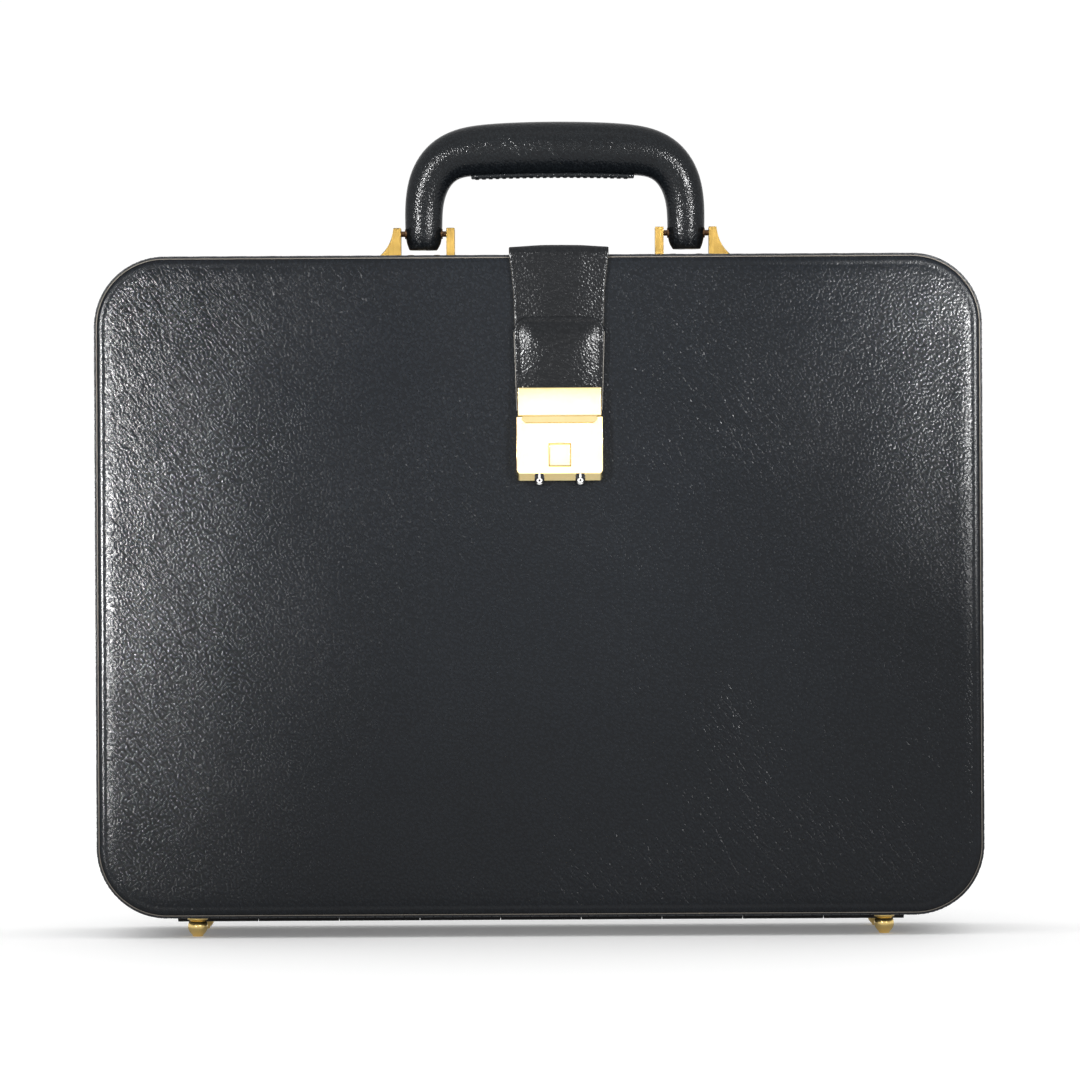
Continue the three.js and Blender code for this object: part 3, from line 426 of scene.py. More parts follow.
def leather_cover(name, node, body, facing):
    low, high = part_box(node)
    inner = low[1] if facing > 0 else high[1]
    piece = outline_sheet(name, COVER_INSET, inner, facing)
    pick_all(piece)
    extrude((0, facing * COVER_WALL, 0))
    for thickness, depth in COVER_STEPS:
        bpy.ops.mesh.inset(thickness=thickness * MM, depth=depth * MM)
    across = int(2 * HALF_WIDTH / GRID_STEP)
    up = int(2 * HALF_HEIGHT / GRID_STEP)
    for step in range(1, across):
        bpy.ops.mesh.bisect(plane_co=(-HALF_WIDTH + step * GRID_STEP, 0, 0), plane_no=(1, 0, 0))
        pick(piece, "FACE", lambda at, normal: from_edge(at.x, at.z) > RIM_WIDTH)
    for step in range(1, up):
        bpy.ops.mesh.bisect(plane_co=(0, 0, MID_HEIGHT - HALF_HEIGHT + step * GRID_STEP), plane_no=(0, 0, 1))
        pick(piece, "FACE", lambda at, normal: from_edge(at.x, at.z) > RIM_WIDTH)
    only(piece)
    waves = bpy.data.textures.new(name + "_waves", "CLOUDS")
    waves.noise_scale = 0.045
    modify(
        piece, "DISPLACE", texture=waves, texture_coords="LOCAL", direction="Y", strength=WAVE, mid_level=0.5)
    smooth(piece, 40)
    fit(piece, calf, body, "leather", node)
    paint(piece, edge_stain, lambda at, normal: from_edge(at.x, at.z) < EDGE_SHOWN)
    return piece


leather_cover("lid_cover", "lid_panel", "lid", -1)
leather_cover("base_cover", "base_panel", "base", 1)


# ---------------------------------------------------------------------------------------------------------
# Leather walls of the two halves: a strip of the same calf glued round the wooden frame, turned over the
# outer edge under the cover and lock-stitched through it, so that the edge dips at every stitch.
# ---------------------------------------------------------------------------------------------------------

STITCH_PITCH = 4.8 * MM
BAND_WALL = 1.9 * MM
EDGE_PULL = 0.55 * MM
EDGE_ROUND = 0.7 * MM


def round_outline(inset, pitch):
    """Places along the case's outline this far apart, with the way out at each: (x, z, out_x, out_z)."""
    radius = CORNER - inset
    flat_x = HALF_WIDTH - CORNER
    flat_z = HALF_HEIGHT - CORNER
    runs = []
    for turn, length, centre in (
            (0, 2 * flat_z, (flat_x, flat_z)), (90, 2 * flat_x, (-flat_x, flat_z)),
            (180, 2 * flat_z, (-flat_x, -flat_z)), (270, 2 * flat_x, (flat_x, -flat_z))):
        out = Vector((math.cos(math.radians(turn)), math.sin(math.radians(turn))))
        along = Vector((-out.y, out.x))
        corner = Vector(centre)
        runs.append(("flat", corner + out * radius - along * length, along, length, out))
        runs.append(("bend", corner, along, radius * math.pi / 2, out))
    total = sum(run[3] for run in runs)
    count = int(round(total / pitch))
    places = []
    for number in range(count):
        far = number * total / count
        for kind, start, along, length, out in runs:
            if far <= length:
                break
            far -= length
        if kind == "flat":
            at, way = start + along * far, out
        else:
            angle = far / radius
            way = out * math.cos(angle) + along * math.sin(angle)
            at = start + way * radius
        places.append((at.x, at.y + MID_HEIGHT, way.x, way.y))
    return places


def thread(name, colour):
    """Waxed thread: two twisted plies."""
    material, place = new_material(name)
    ply = place.turned((0, 45, 45), (1, 1, 1)).noise(2600, 2)
    finish_material(
        place, ply, 0.00008, 1.0,
        Base_Color=ply.colours([c * 0.6 for c in colour] + [1], [c * 1.5 for c in colour] + [1]),
        Roughness=ply * 0.2 + 0.45, Specular_IOR_Level=0.2)
    return material


waxed_thread = thread("waxed_thread", (0.006, 0.006, 0.0065))


def one_stitch(length, thick):
    """A single stitch, along X: a short thread, rounded off where it enters the leather at each end."""
    only()
    bpy.ops.mesh.primitive_cylinder_add(
        vertices=6, radius=thick / 2, depth=length * 0.62, rotation=(0, math.pi / 2, 0))
    stitch = settle(bpy.context.object)
    for end in (-1, 1):
        pick(stitch, "FACE", lambda at, normal: normal.x * end > 0.9)
        extrude((end * length * 0.19, 0, -thick * 0.3))
        bpy.ops.transform.resize(value=(1, 0.45, 0.45))
    only(stitch)
    return stitch


def sew(name, stitch, places, body, material, slot="leather"):
    """Copies a stitch to every place and joins the copies into one row of sewing."""
    copies = []
    for matrix in places:
        copy = stitch.copy()
        copy.data = stitch.data.copy()
        copy.data.transform(matrix)
        bpy.context.collection.objects.link(copy)
        copies.append(copy)
    bpy.data.objects.remove(stitch)
    only(*copies)
    bpy.ops.object.join()
    row = bpy.context.object
    row.name = name
    smooth(row, 60)
    fit(row, material, body, slot)
    return row


def frame_at(at, along, out):
    """A place for a stitch: its length runs along, and its top faces out."""
    along = Vector(along).normalized()
    out = Vector(out).normalized()
    side = out.cross(along)
    turn = Matrix((along, side, out)).transposed().to_4x4()
    return Matrix.Translation(Vector(at)) @ turn


def leather_wall(name, node, body, facing):
    """The wall of one half. facing is the side that its closed face looks to."""
    low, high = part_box(node)
    front = high[1] if facing > 0 else low[1]
    length = high[1] - low[1]
    piece = outline_sheet(name, 0, front, facing)
    pick(piece, "EDGE", lambda at, way: max(abs(way.x), abs(way.z)) > 0.999)
    bpy.ops.mesh.subdivide(number_cuts=290)
    pick_all(piece)
    extrude((0, -facing * EDGE_ROUND, 0))
    extrude((0, -facing * EDGE_ROUND * 2, 0))
    extrude((0, -facing * (length - EDGE_ROUND * 3), 0))
    bpy.ops.mesh.delete(type="ONLY_FACE")
    pick(piece, "FACE", lambda at, normal: abs(normal.y) > 0.9)
    bpy.ops.mesh.delete(type="ONLY_FACE")
    face_out(piece)
    modify(piece, "SOLIDIFY", thickness=BAND_WALL, offset=-1)
    edge_y = front
    dips = round_outline(0, STITCH_PITCH)
    count = len(dips)
    pulled = {}
    for vertex in piece.data.vertices:
        if abs(vertex.co.y - edge_y) < EDGE_ROUND * 1.5 and from_edge(vertex.co.x, vertex.co.z) < 0.4 * MM:
            pulled[vertex.index] = turns_round(vertex.co.x, vertex.co.z) * count
    for index, phase in pulled.items():
        vertex = piece.data.vertices[index]
        dip = max(0.0, math.cos(2 * math.pi * phase)) ** 2
        near = 1.0 if abs(vertex.co.y - edge_y) < EDGE_ROUND * 0.5 else 0.6
        way = outward(vertex.co.x, vertex.co.z)
        rounding = 0.3 * MM if near == 1.0 else 0.0
        pull = EDGE_PULL * dip * near + rounding
        vertex.co.x -= way[0] * pull
        vertex.co.z -= way[1] * pull
    smooth(piece, 50)
    fit(piece, calf_wall, body, "leather", node)
    places = []
    for x, z, out_x, out_z in dips:
        at = (x - out_x * 0.35 * MM, edge_y - facing * 0.5 * MM, z - out_z * 0.35 * MM)
        places.append(frame_at(at, (0, -facing, 0), (out_x, facing * 0.35, out_z)))
    sew(name + "_stitches", one_stitch(1.9 * MM, 0.7 * MM), places, body, waxed_thread)
    return piece


def outward(x, z):
    """The way out of the case's outline nearest a point."""
    right = max(abs(x) - (HALF_WIDTH - CORNER), 0)
    up = max(abs(z - MID_HEIGHT) - (HALF_HEIGHT - CORNER), 0)
    size = math.hypot(right, up) or 1
    return math.copysign(right / size, x), math.copysign(up / size, z - MID_HEIGHT)


def turns_round(x, z):
    """How far round the outline a point on it is, from 0 to 1, counted as round_outline() counts."""
    flat_x = HALF_WIDTH - CORNER
    flat_z = HALF_HEIGHT - CORNER
    bend = CORNER * math.pi / 2
    z -= MID_HEIGHT
    lengths = [2 * flat_z, 2 * flat_x, 2 * flat_z, 2 * flat_x]
    far = 0
    total = sum(lengths) + 4 * bend
    corners = ((flat_x, flat_z), (-flat_x, flat_z), (-flat_x, -flat_z), (flat_x, -flat_z))
    for side, centre in enumerate(corners):
        turn = 90 * side
        out = Vector((math.cos(math.radians(turn)), math.sin(math.radians(turn))))
        along = Vector((-out.y, out.x))
        away = Vector((x, z)) - Vector(centre)
        ahead = away.dot(along)
        outside = away.dot(out)
        if -lengths[side] <= ahead <= 0 and outside > 0:
            return (far + lengths[side] + ahead) / total
        far += lengths[side]
        if ahead > 0 and outside > 0:
            return (far + bend * math.atan2(ahead, outside) / (math.pi / 2)) / total
        far += bend
    return 0.0


calf_wall = leather(
    "black_calf_wall", (0.004, 0.0055, 0.0075, 1), (0.012, 0.014, 0.018, 1), cells=900, gloss=0.34)
leather_wall("lid_wall", "lid_band", "lid", -1)
leather_wall("base_wall", "base_band", "base", 1)


# ---------------------------------------------------------------------------------------------------------
# Strap: two layers of calf folded round a core, sewn along both edges, riveted to the back, and running
# over the top. On the case its front leg swings up about the front edge, bending the leather there; here the
# strap is one piece in its closed shape, and nothing bends it.
# ---------------------------------------------------------------------------------------------------------

STRAP_SKIN = 3.2 * MM
STRAP_COLUMNS = 15
STRAP_BEND = 4.4 * MM
STRAP_NOSE = 3.4 * MM
STRAP_CROWN = ((0.94, 0.16), (0.84, 0.2), (0.7, 0.22), (0.56, 0.2), (0.4, 0.14), (0.25, 0.08))
leg_low, leg_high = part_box("strap_leg")
root_low, root_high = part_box("strap_root")
STRAP_X = (root_low[0] + root_high[0]) / 2
STRAP_HALF = (root_high[0] - root_low[0]) / 2
STRAP_STEP = 5 * MM
# where the front leg starts to narrow, how far down its waist is, half its width there, and its taper below
STRAP_FOLD = 3.7 * MM
WAIST_DOWN = 31 * MM
WAIST_HALF = 22.25 * MM
LEG_TAPER = 0.024


def strap_path():
    """The strap's outer face, (y, z): from the foot of its back leg over the top to that of its front."""
    back, top, front = root_high[1], root_high[2], leg_low[1]
    path = []

    def straight(start, finish):
        steps = max(2, int(math.dist(start, finish) / STRAP_STEP))
        for step in range(steps):
            part = step / steps
            path.append((start[0] + (finish[0] - start[0]) * part, start[1] + (finish[1] - start[1]) * part))

    def arc(centre, radius, first, last):
        for step in range(6):
            angle = math.radians(first + (last - first) * step / 6)
            path.append((centre[0] + radius * math.cos(angle), centre[1] + radius * math.sin(angle)))

    straight((back, root_low[2]), (back, top - STRAP_BEND))
    arc((back - STRAP_BEND, top - STRAP_BEND), STRAP_BEND, 0, 90)
    straight((back - STRAP_BEND, top), (front + STRAP_NOSE, top))
    arc((front + STRAP_NOSE, top - STRAP_NOSE), STRAP_NOSE, 90, 180)
    straight((front, top - STRAP_NOSE), (front, leg_low[2]))
    path.append((front, leg_low[2]))
    return path


def strap_width(z):
    """Half the strap's width on its front leg: it narrows below the top edge, then runs nearly straight."""
    down = max(0.0, root_high[2] - STRAP_FOLD - z)
    part = min(down / WAIST_DOWN, 1.0)
    ease = part * (2 - part)
    return STRAP_HALF + (WAIST_HALF - STRAP_HALF) * ease - max(0.0, down - WAIST_DOWN) * LEG_TAPER


def make_strap():
    path = strap_path()
    only()
    first, second = path[0], path[1]
    bpy.ops.mesh.primitive_plane_add(size=1, rotation=(-math.pi / 2, 0, 0),
                                     location=(STRAP_X, first[0], (first[1] + second[1]) / 2))
    piece = bpy.context.object
    piece.name = "strap"
    piece.scale = (2 * STRAP_HALF, second[1] - first[1], 1)
    settle(piece)
    pick(piece, "EDGE", lambda at, way: abs(way.x) > 0.9 and at.z > (first[1] + second[1]) / 2)
    for before, after in zip(path[1:], path[2:]):
        extrude((0, after[0] - before[0], after[1] - before[1]))
    pick(piece, "EDGE", lambda at, way: abs(way.x) > 0.9)
    bpy.ops.mesh.subdivide(number_cuts=STRAP_COLUMNS)
    face_out(piece)
    if piece.data.polygons[0].normal.y < 0:
        pick_all(piece)
        bpy.ops.mesh.flip_normals()
    for reach, lift in STRAP_CROWN:
        pick(piece, "VERT", lambda at, normal: abs(at.x - STRAP_X) < STRAP_HALF * reach)
        bpy.ops.transform.shrink_fatten(value=lift * MM)
    only(piece)
    for vertex in piece.data.vertices:
        if vertex.co.y < leg_high[1] and vertex.co.z < root_high[2] - 3 * MM:
            vertex.co.x = STRAP_X + (vertex.co.x - STRAP_X) * strap_width(vertex.co.z) / STRAP_HALF
    modify(piece, "SOLIDIFY", thickness=STRAP_SKIN, offset=-1)
    round_edges(piece, 0.55 * MM, 3, 50)
    modify(piece, "SUBSURF", levels=1, render_levels=1)
    smooth(piece, 45)
    return piece


calf_strap = leather(
    "black_calf_strap", (0.0015, 0.0018, 0.0024, 1), (0.006, 0.0068, 0.008, 1), cells=900)
strap = make_strap()
strap.data.materials.append(calf_strap)
strap_edge = cut_edge("strap_edge", (0.03, 0.027, 0.023, 1), (0.16, 0.145, 0.12, 1))
paint(strap, strap_edge, lambda at, normal: abs(normal.x) > 0.8)
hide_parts("strap_root", "strap_leg")
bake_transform(strap)


# ---------------------------------------------------------------------------------------------------------
# Chape: the strap's second layer, a round-shouldered tab of padded calf sewn on over its end, which the
# hasp is riveted through.
# ---------------------------------------------------------------------------------------------------------

CHAPE_CORNER = 7.5 * MM
CHAPE_STEPS = [(0.35, 0.3), (0.5, 0.16), (1.0, 0.04), (0.5, -0.16), (0.6, 0.12)]
CHAPE_PAD = [(0.92, 0.3), (0.88, 0.45), (0.84, 0.4), (0.76, 0.3), (0.62, 0.2), (0.5, 0.08)]
chape_low, chape_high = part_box("strap_chape")
only()
bpy.ops.mesh.primitive_plane_add(size=1, rotation=(math.pi / 2, 0, 0),
                                 location=(STRAP_X, chape_high[1], (chape_low[2] + chape_high[2]) / 2))
chape = bpy.context.object
chape.name = "strap_chape_leather"
chape.scale = (chape_high[0] - chape_low[0], chape_high[2] - chape_low[2], 1)
settle(chape)
pick(chape, "VERT", lambda at, normal: at.z > chape_high[2] - 1 * MM)
bpy.ops.mesh.bevel(offset=CHAPE_CORNER, segments=10, affect="VERTICES")
pick_all(chape)
extrude((0, chape_low[1] - chape_high[1], 0))
for thickness, depth in CHAPE_STEPS:
    bpy.ops.mesh.inset(thickness=thickness * MM, depth=depth * MM)
chape_mid = Vector((STRAP_X, 0, (chape_low[2] + chape_high[2]) / 2))
for shrink, depth in CHAPE_PAD:
    extrude((0, -depth * MM, 0))
    bpy.ops.transform.resize(value=(shrink, 1, shrink), center_override=chape_mid)
only(chape)
for vertex in chape.data.vertices:
    drop = min(max((chape_high[2] - 8 * MM - vertex.co.z) / (chape_high[2] - chape_low[2]), 0), 1)
    vertex.co.x = STRAP_X + (vertex.co.x - STRAP_X) * (1 - 0.066 * drop)
smooth(chape, 50)
fit(chape, calf_strap, "strap_flap", "leather", "strap_chape")
chape_edge = cut_edge("chape_edge", (0.05, 0.046, 0.04, 1), (0.3, 0.28, 0.25, 1))
paint(chape, chape_edge, lambda at, normal: abs(normal.y) < 0.75 and at.y > chape_low[1] - 0.35 * MM)


# ---------------------------------------------------------------------------------------------------------
# Sewing on the strap and the chape: black waxed thread, ten stitches to the inch or so, in from each edge.
# ---------------------------------------------------------------------------------------------------------

STRAP_STITCH = 3.2 * MM
SEAM_IN = 1.9 * MM


def crown_at(side_part):
    """How far the strap's face stands out at this part of its half width."""
    return sum(lift for reach, lift in STRAP_CROWN if side_part < reach) * MM


def strap_seams():
    path = strap_path()
    spread = [0]
    for before, after in zip(path, path[1:]):
        spread.append(spread[-1] + math.dist(before, after))
    rows = {"base": [], "strap_flap": []}
    count = int(spread[-1] / STRAP_STITCH)
    for number in range(1, count):
        far = number * spread[-1] / count
        index = max(i for i in range(len(path) - 1) if spread[i] <= far)
        part = (far - spread[index]) / (spread[index + 1] - spread[index])
        start, finish = path[index], path[index + 1]
        way = Vector((0, finish[0] - start[0], finish[1] - start[1])).normalized()
        out = Vector((0, way.z, -way.y))
        y = start[0] + (finish[0] - start[0]) * part
        z = start[1] + (finish[1] - start[1]) * part
        on_leg = y < leg_low[1] + 1 * MM
        if not on_leg and y < leg_high[1] + 6 * MM:
            continue
        half = strap_width(z) if on_leg else STRAP_HALF
        if on_leg and z < chape_high[2] + 1 * MM:
            continue
        for side in (-1, 1):
            x = STRAP_X + side * (half - SEAM_IN)
            at = Vector((x, y, z)) + out * (crown_at((half - SEAM_IN) / half) + 0.05 * MM)
            rows["strap_flap" if on_leg else "base"].append(frame_at(at, way, out))
    return rows


for body, places in strap_seams().items():
    sew("strap_stitches_" + body, one_stitch(2.3 * MM, 0.6 * MM), places, body, waxed_thread)


def chape_seam():
    """Down both sides and round the shoulders, in the channel pressed for the thread."""
    inset = 2.1 * MM
    high = chape_high[2] - inset
    radius = CHAPE_CORNER - inset
    half = (chape_high[0] - chape_low[0]) / 2 - inset
    face = chape_low[1] - 0.36 * MM
    points = []
    z = chape_low[2] + 12 * MM
    while z < high - radius:
        points.append((half - 0.02 * (high - z), z, (0, 1)))
        z += STRAP_STITCH
    for step in range(3):
        angle = math.radians(15 + 30 * step)
        points.append((half - radius + radius * math.cos(angle), high - radius + radius * math.sin(angle),
                       (-math.sin(angle), math.cos(angle))))
    places = []
    for side in (-1, 1):
        for x, z, way in points:
            places.append(frame_at((STRAP_X + side * x, face, z), (side * way[0], 0, way[1]), (0, -1, 0)))
    x = -(half - radius - 1 * MM)
    while x < half - radius:
        places.append(frame_at((STRAP_X + x, face, high), (1, 0, 0), (0, -1, 0)))
        x += STRAP_STITCH
    return places


sew("strap_chape_stitches", one_stitch(2.3 * MM, 0.6 * MM), chape_seam(), "strap_flap", waxed_thread)


# ---------------------------------------------------------------------------------------------------------
# Hasp and lock: pressed and folded brass, polished, plated pale gold and lacquered. The hasp is riveted to
# the strap's end, its lip drops into the lock, and a square button draws the latch.
# ---------------------------------------------------------------------------------------------------------

def copy_of(name, node):
    """A copy of a CAD piece, with no material yet."""
    only(nodes[node])
    bpy.ops.object.duplicate()
    piece = bpy.context.object
    piece.name = name
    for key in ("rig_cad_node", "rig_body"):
        if key in piece:
            del piece[key]
    piece.data.materials.clear()
    return piece


def softened(name, node, width, body, material, slot, segments=2, turn_deg=30):
    """A copy of a CAD piece with its doubles merged and its sharp edges broken."""
    piece = copy_of(name, node)
    pick_all(piece, "VERT")
    bpy.ops.mesh.remove_doubles(threshold=0.005 * MM)
    bpy.ops.mesh.select_all(action="SELECT")
    bpy.ops.mesh.dissolve_limited(angle_limit=math.radians(1))
    only(piece)
    round_edges(piece, width, segments, turn_deg)
    smooth(piece, 40)
    modify(piece, "WEIGHTED_NORMAL", keep_sharp=True)
    fit(piece, material, body, slot, node)
    return piece


def brass(name, dark, light, gloss, brushed, lift=0.00002, across=(0, 0, 0), fineness=5200):
    """Plated brass: fine brush lines under the lacquer, and a little dulling here and there."""
    material, place = new_material(name)
    lines = place.turned(across, (1.0, 1.0, 0.04)).noise(fineness, 2)
    dull = place.noise(130, 3)
    tint = (dull * 0.6 + lines * 0.4).colours(dark, light)
    rough = gloss + dull * 0.08 + lines * 0.06
    finish_material(
        place, lines * brushed + dull * 0.3, lift, 1.0, Base_Color=tint, Metallic=1.0, Roughness=rough)
    return material


pale_brass = brass("polished_brass", (0.82, 0.62, 0.25, 1), (0.97, 0.82, 0.46, 1), 0.04, 0.15)
lock_low, lock_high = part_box("lock_case")
LOCK_CHAMFER = 3.5 * MM
LOCK_CORNER = 1.5 * MM
LOCK_SHEET = 2.1 * MM
LOCK_FLOOR = 2.4 * MM
LOCK_SIDE = 1.6 * MM
LOCK_HEAD = 4.5 * MM
NOTCH_HALF = 18.8 * MM
SLOT_HALF = 4.8 * MM
DISH_RADIUS = 6.3 * MM
BUTTON_HALF = 5.25 * MM
BUTTON_HALF_TALL = 5.45 * MM
# the play between two pieces that slide past each other
PLAY = 0.3 * MM


def block(name, low, high):
    """A block between two corners, in metres."""
    only()
    middle = [(a + b) / 2 for a, b in zip(low, high)]
    bpy.ops.mesh.primitive_cube_add(size=1, location=middle)
    piece = bpy.context.object
    piece.name = name
    piece.scale = [b - a for a, b in zip(low, high)]
    return settle(piece)


def cut(piece, low, high):
    """Cuts a block out of a piece."""
    tool = block("cutter", low, high)
    modify(piece, "BOOLEAN", object=tool, operation="DIFFERENCE", solver="EXACT")
    bpy.data.objects.remove(tool)


def bevel_edges(piece, test, offset, segments):
    pick(piece, "EDGE", test)
    bpy.ops.mesh.bevel(offset=offset, segments=segments, affect="EDGES")
    only(piece)


button_low, button_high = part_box("lock_button")
latch_low, latch_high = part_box("lock_latch")
hasp_low, hasp_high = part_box("hasp_plate")
plate_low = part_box("lock_back")[0]
HASP_THICK = 4.6 * MM
LIP_TALL = 3.3 * MM
LIP_IN = 2.05 * MM
HOOK_IN = 16.65 * MM
shelf_low = hasp_low[2] + LIP_TALL
hasp = block("hasp", (hasp_low[0], hasp_low[1], shelf_low),
             (hasp_high[0], hasp_low[1] + HASP_THICK, hasp_high[2]))
bevel_edges(hasp, lambda at, way: abs(way.x) > 0.9 and at.y < hasp_low[1] + 1 * MM, 0.75 * MM, 3)
shelf = block("hasp_shelf", (hasp_low[0] + 0.4 * MM, hasp_low[1] + 1 * MM, shelf_low),
              (hasp_high[0] - 0.4 * MM, hasp_high[1], shelf_low + 2.5 * MM))
lip = block("hasp_lip", (hasp_low[0] + LIP_IN, hasp_low[1] + 0.5 * MM, hasp_low[2]),
            (hasp_high[0] - LIP_IN, hasp_low[1] + 2.4 * MM, shelf_low + 1 * MM))
bevel_edges(lip, lambda at, way: abs(way.y) > 0.9 and at.z < hasp_low[2] + 0.5 * MM, 1.5 * MM, 1)
pick(lip, "VERT", lambda at, normal: at.y < hasp_low[1] + 1 * MM and at.z < shelf_low - 1 * MM)
bpy.ops.transform.translate(value=(0, 0.8 * MM, 0))
hook = block("hasp_hook", (lock_low[0] + HOOK_IN, hasp_low[1] + 1.4 * MM, hasp_low[2] + 1 * MM),
             (lock_high[0] - HOOK_IN, hasp_low[1] + 5.8 * MM, hasp_low[2] + 2.6 * MM))
only(hasp, shelf, lip, hook)
bpy.ops.object.join()
round_edges(hasp, 0.2 * MM, 2, 35)
smooth(hasp, 30)
modify(hasp, "WEIGHTED_NORMAL", keep_sharp=True)
fit(hasp, pale_brass, "strap_flap", "brass", "hasp_plate")
lock = block("lock_body", lock_low, (lock_high[0], plate_low[1], lock_high[2]))
lock_mid = (lock_low[0] + lock_high[0]) / 2



def low_front(at, way):
    return abs(way.x) > 0.9 and at.z < lock_low[2] + 1 * MM and at.y < lock_low[1] + 1 * MM


def low_corner(at, way):
    outer = at.z < lock_low[2] + 2 * MM and abs(at.x - lock_mid) > 20 * MM
    return outer and abs(way.x) < 0.1 and abs(way.z) < 0.9


bevel_edges(lock, low_front, LOCK_CHAMFER, 1)
bevel_edges(lock, low_corner, LOCK_CORNER, 4)
# the hollow behind the face, then the notch for the hasp's lip, the slot for its hook and the latch's way
cut(lock, (lock_low[0] + LOCK_SIDE, lock_low[1] + LOCK_SHEET, lock_low[2] + LOCK_FLOOR),
    (lock_high[0] - LOCK_SIDE, lock_high[1] + 2 * MM, lock_high[2] - LOCK_HEAD))
lip_low = hasp_low[2] - PLAY
lip_back = hasp_low[1] + 2.7 * MM
cut(lock, (lock_mid - NOTCH_HALF, lock_low[1] - 1 * MM, lip_low),
    (lock_mid + NOTCH_HALF, lip_back, lock_high[2] + 1 * MM))
cut(lock, (lock_mid - SLOT_HALF, lip_back - 1 * MM, lip_low + 1 * MM),
    (lock_mid + SLOT_HALF, lip_back + 3.7 * MM, lock_high[2] + 1 * MM))
cut(lock, (latch_low[0] - PLAY, latch_low[1] - PLAY, latch_low[2] - 3 * MM),
    (latch_high[0] + PLAY, latch_high[1] + PLAY, lip_low + 2 * MM))
# a window for each wheel through the chamfer, and room for it to turn behind the face
for side in ("left", "right"):
    wheel_low, wheel_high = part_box("dial_" + side)
    cut(lock, (wheel_low[0] - PLAY, lock_low[1] - 1 * MM, lock_low[2] - 1 * MM),
        (wheel_high[0] + PLAY, lock_high[1] + 1 * MM, lock_low[2] + LOCK_CHAMFER))
    cut(lock, (wheel_low[0] - PLAY, lock_low[1] + 1.3 * MM, lock_low[2] - 1 * MM),
        (wheel_high[0] + PLAY, lock_high[1] + 1 * MM, wheel_high[2] - 1.3 * MM))
# a shallow round dish in the face with the button's square window in the middle of it
button_mid = (button_low[2] + button_high[2]) / 2
button_half = BUTTON_HALF + PLAY
button_tall = BUTTON_HALF_TALL + PLAY
only()
bpy.ops.mesh.primitive_cylinder_add(
    vertices=48, radius=DISH_RADIUS, depth=1 * MM, rotation=(math.pi / 2, 0, 0),
    location=(lock_mid, lock_low[1], button_mid))
dish = settle(bpy.context.object)
modify(lock, "BOOLEAN", object=dish, operation="DIFFERENCE", solver="EXACT")
bpy.data.objects.remove(dish)
cut(lock, (lock_mid - button_half, lock_low[1] - 1 * MM, button_mid - button_tall),
    (lock_mid + button_half, lock_low[1] + 3 * MM, button_mid + button_tall))
round_edges(lock, 0.22 * MM, 2, 35)
smooth(lock, 30)
modify(lock, "WEIGHTED_NORMAL", keep_sharp=True)
fit(lock, pale_brass, "lid", "brass", "lock_case")
softened("lock_push_button", "lock_button", 0.8 * MM, "button", pale_brass, "brass", 3)
softened("lock_back_plate", "lock_back", 0.15 * MM, "lid", pale_brass, "brass", 2)


def coat(material, *names):
    """Gives CAD pieces that stay as they are a new material."""
    for name in names:
        nodes[name].data.materials.clear()
        nodes[name].data.materials.append(material)


steel, place = new_material("bright_steel")
turned_lines = place.turned((0, 0, 0), (0.05, 1, 1)).noise(4200, 2)
finish_material(
    place, turned_lines, 0.00002, 1.0, Metallic=1.0, Roughness=turned_lines * 0.12 + 0.24,
    Base_Color=turned_lines.colours((0.36, 0.35, 0.34, 1), (0.62, 0.61, 0.59, 1)))
softened("latch_bar", "lock_latch", 0.15 * MM, "latch", steel, "steel")
coat(steel, "dial_axle", "hinge_pin")
spring = copy_of("button_coil", "button_spring")
fit(spring, steel, "lid", "steel", "button_spring")
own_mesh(spring)


# ---------------------------------------------------------------------------------------------------------
# Number wheels: moulded black, ten flats and a rim round a sunk centre each side, a white figure on every
# flat. They turn on a steel axle behind the chamfer of the lock.
# ---------------------------------------------------------------------------------------------------------

WHEEL_FLATS = 10
WHEEL_TILT_DEG = -30
FIGURE_HEIGHT = 3.1 * MM
FIGURE_WIDEN = 1.9
wheel_black, place = new_material("wheel_black")
speck = place.noise(1600, 2)
finish_material(
    place, speck, 0.00003, 1.0, Roughness=speck * 0.15 + 0.45, Specular_IOR_Level=0.12,
    Base_Color=speck.colours((0.006, 0.006, 0.007, 1), (0.018, 0.018, 0.02, 1)))
figure_white, place = new_material("figure_white")
chalk = place.noise(2400, 2)
finish_material(
    place, chalk, 0.00002, 1.0, Roughness=chalk * 0.2 + 0.4,
    Base_Color=chalk.colours((0.72, 0.72, 0.7, 1), (0.92, 0.92, 0.9, 1)))


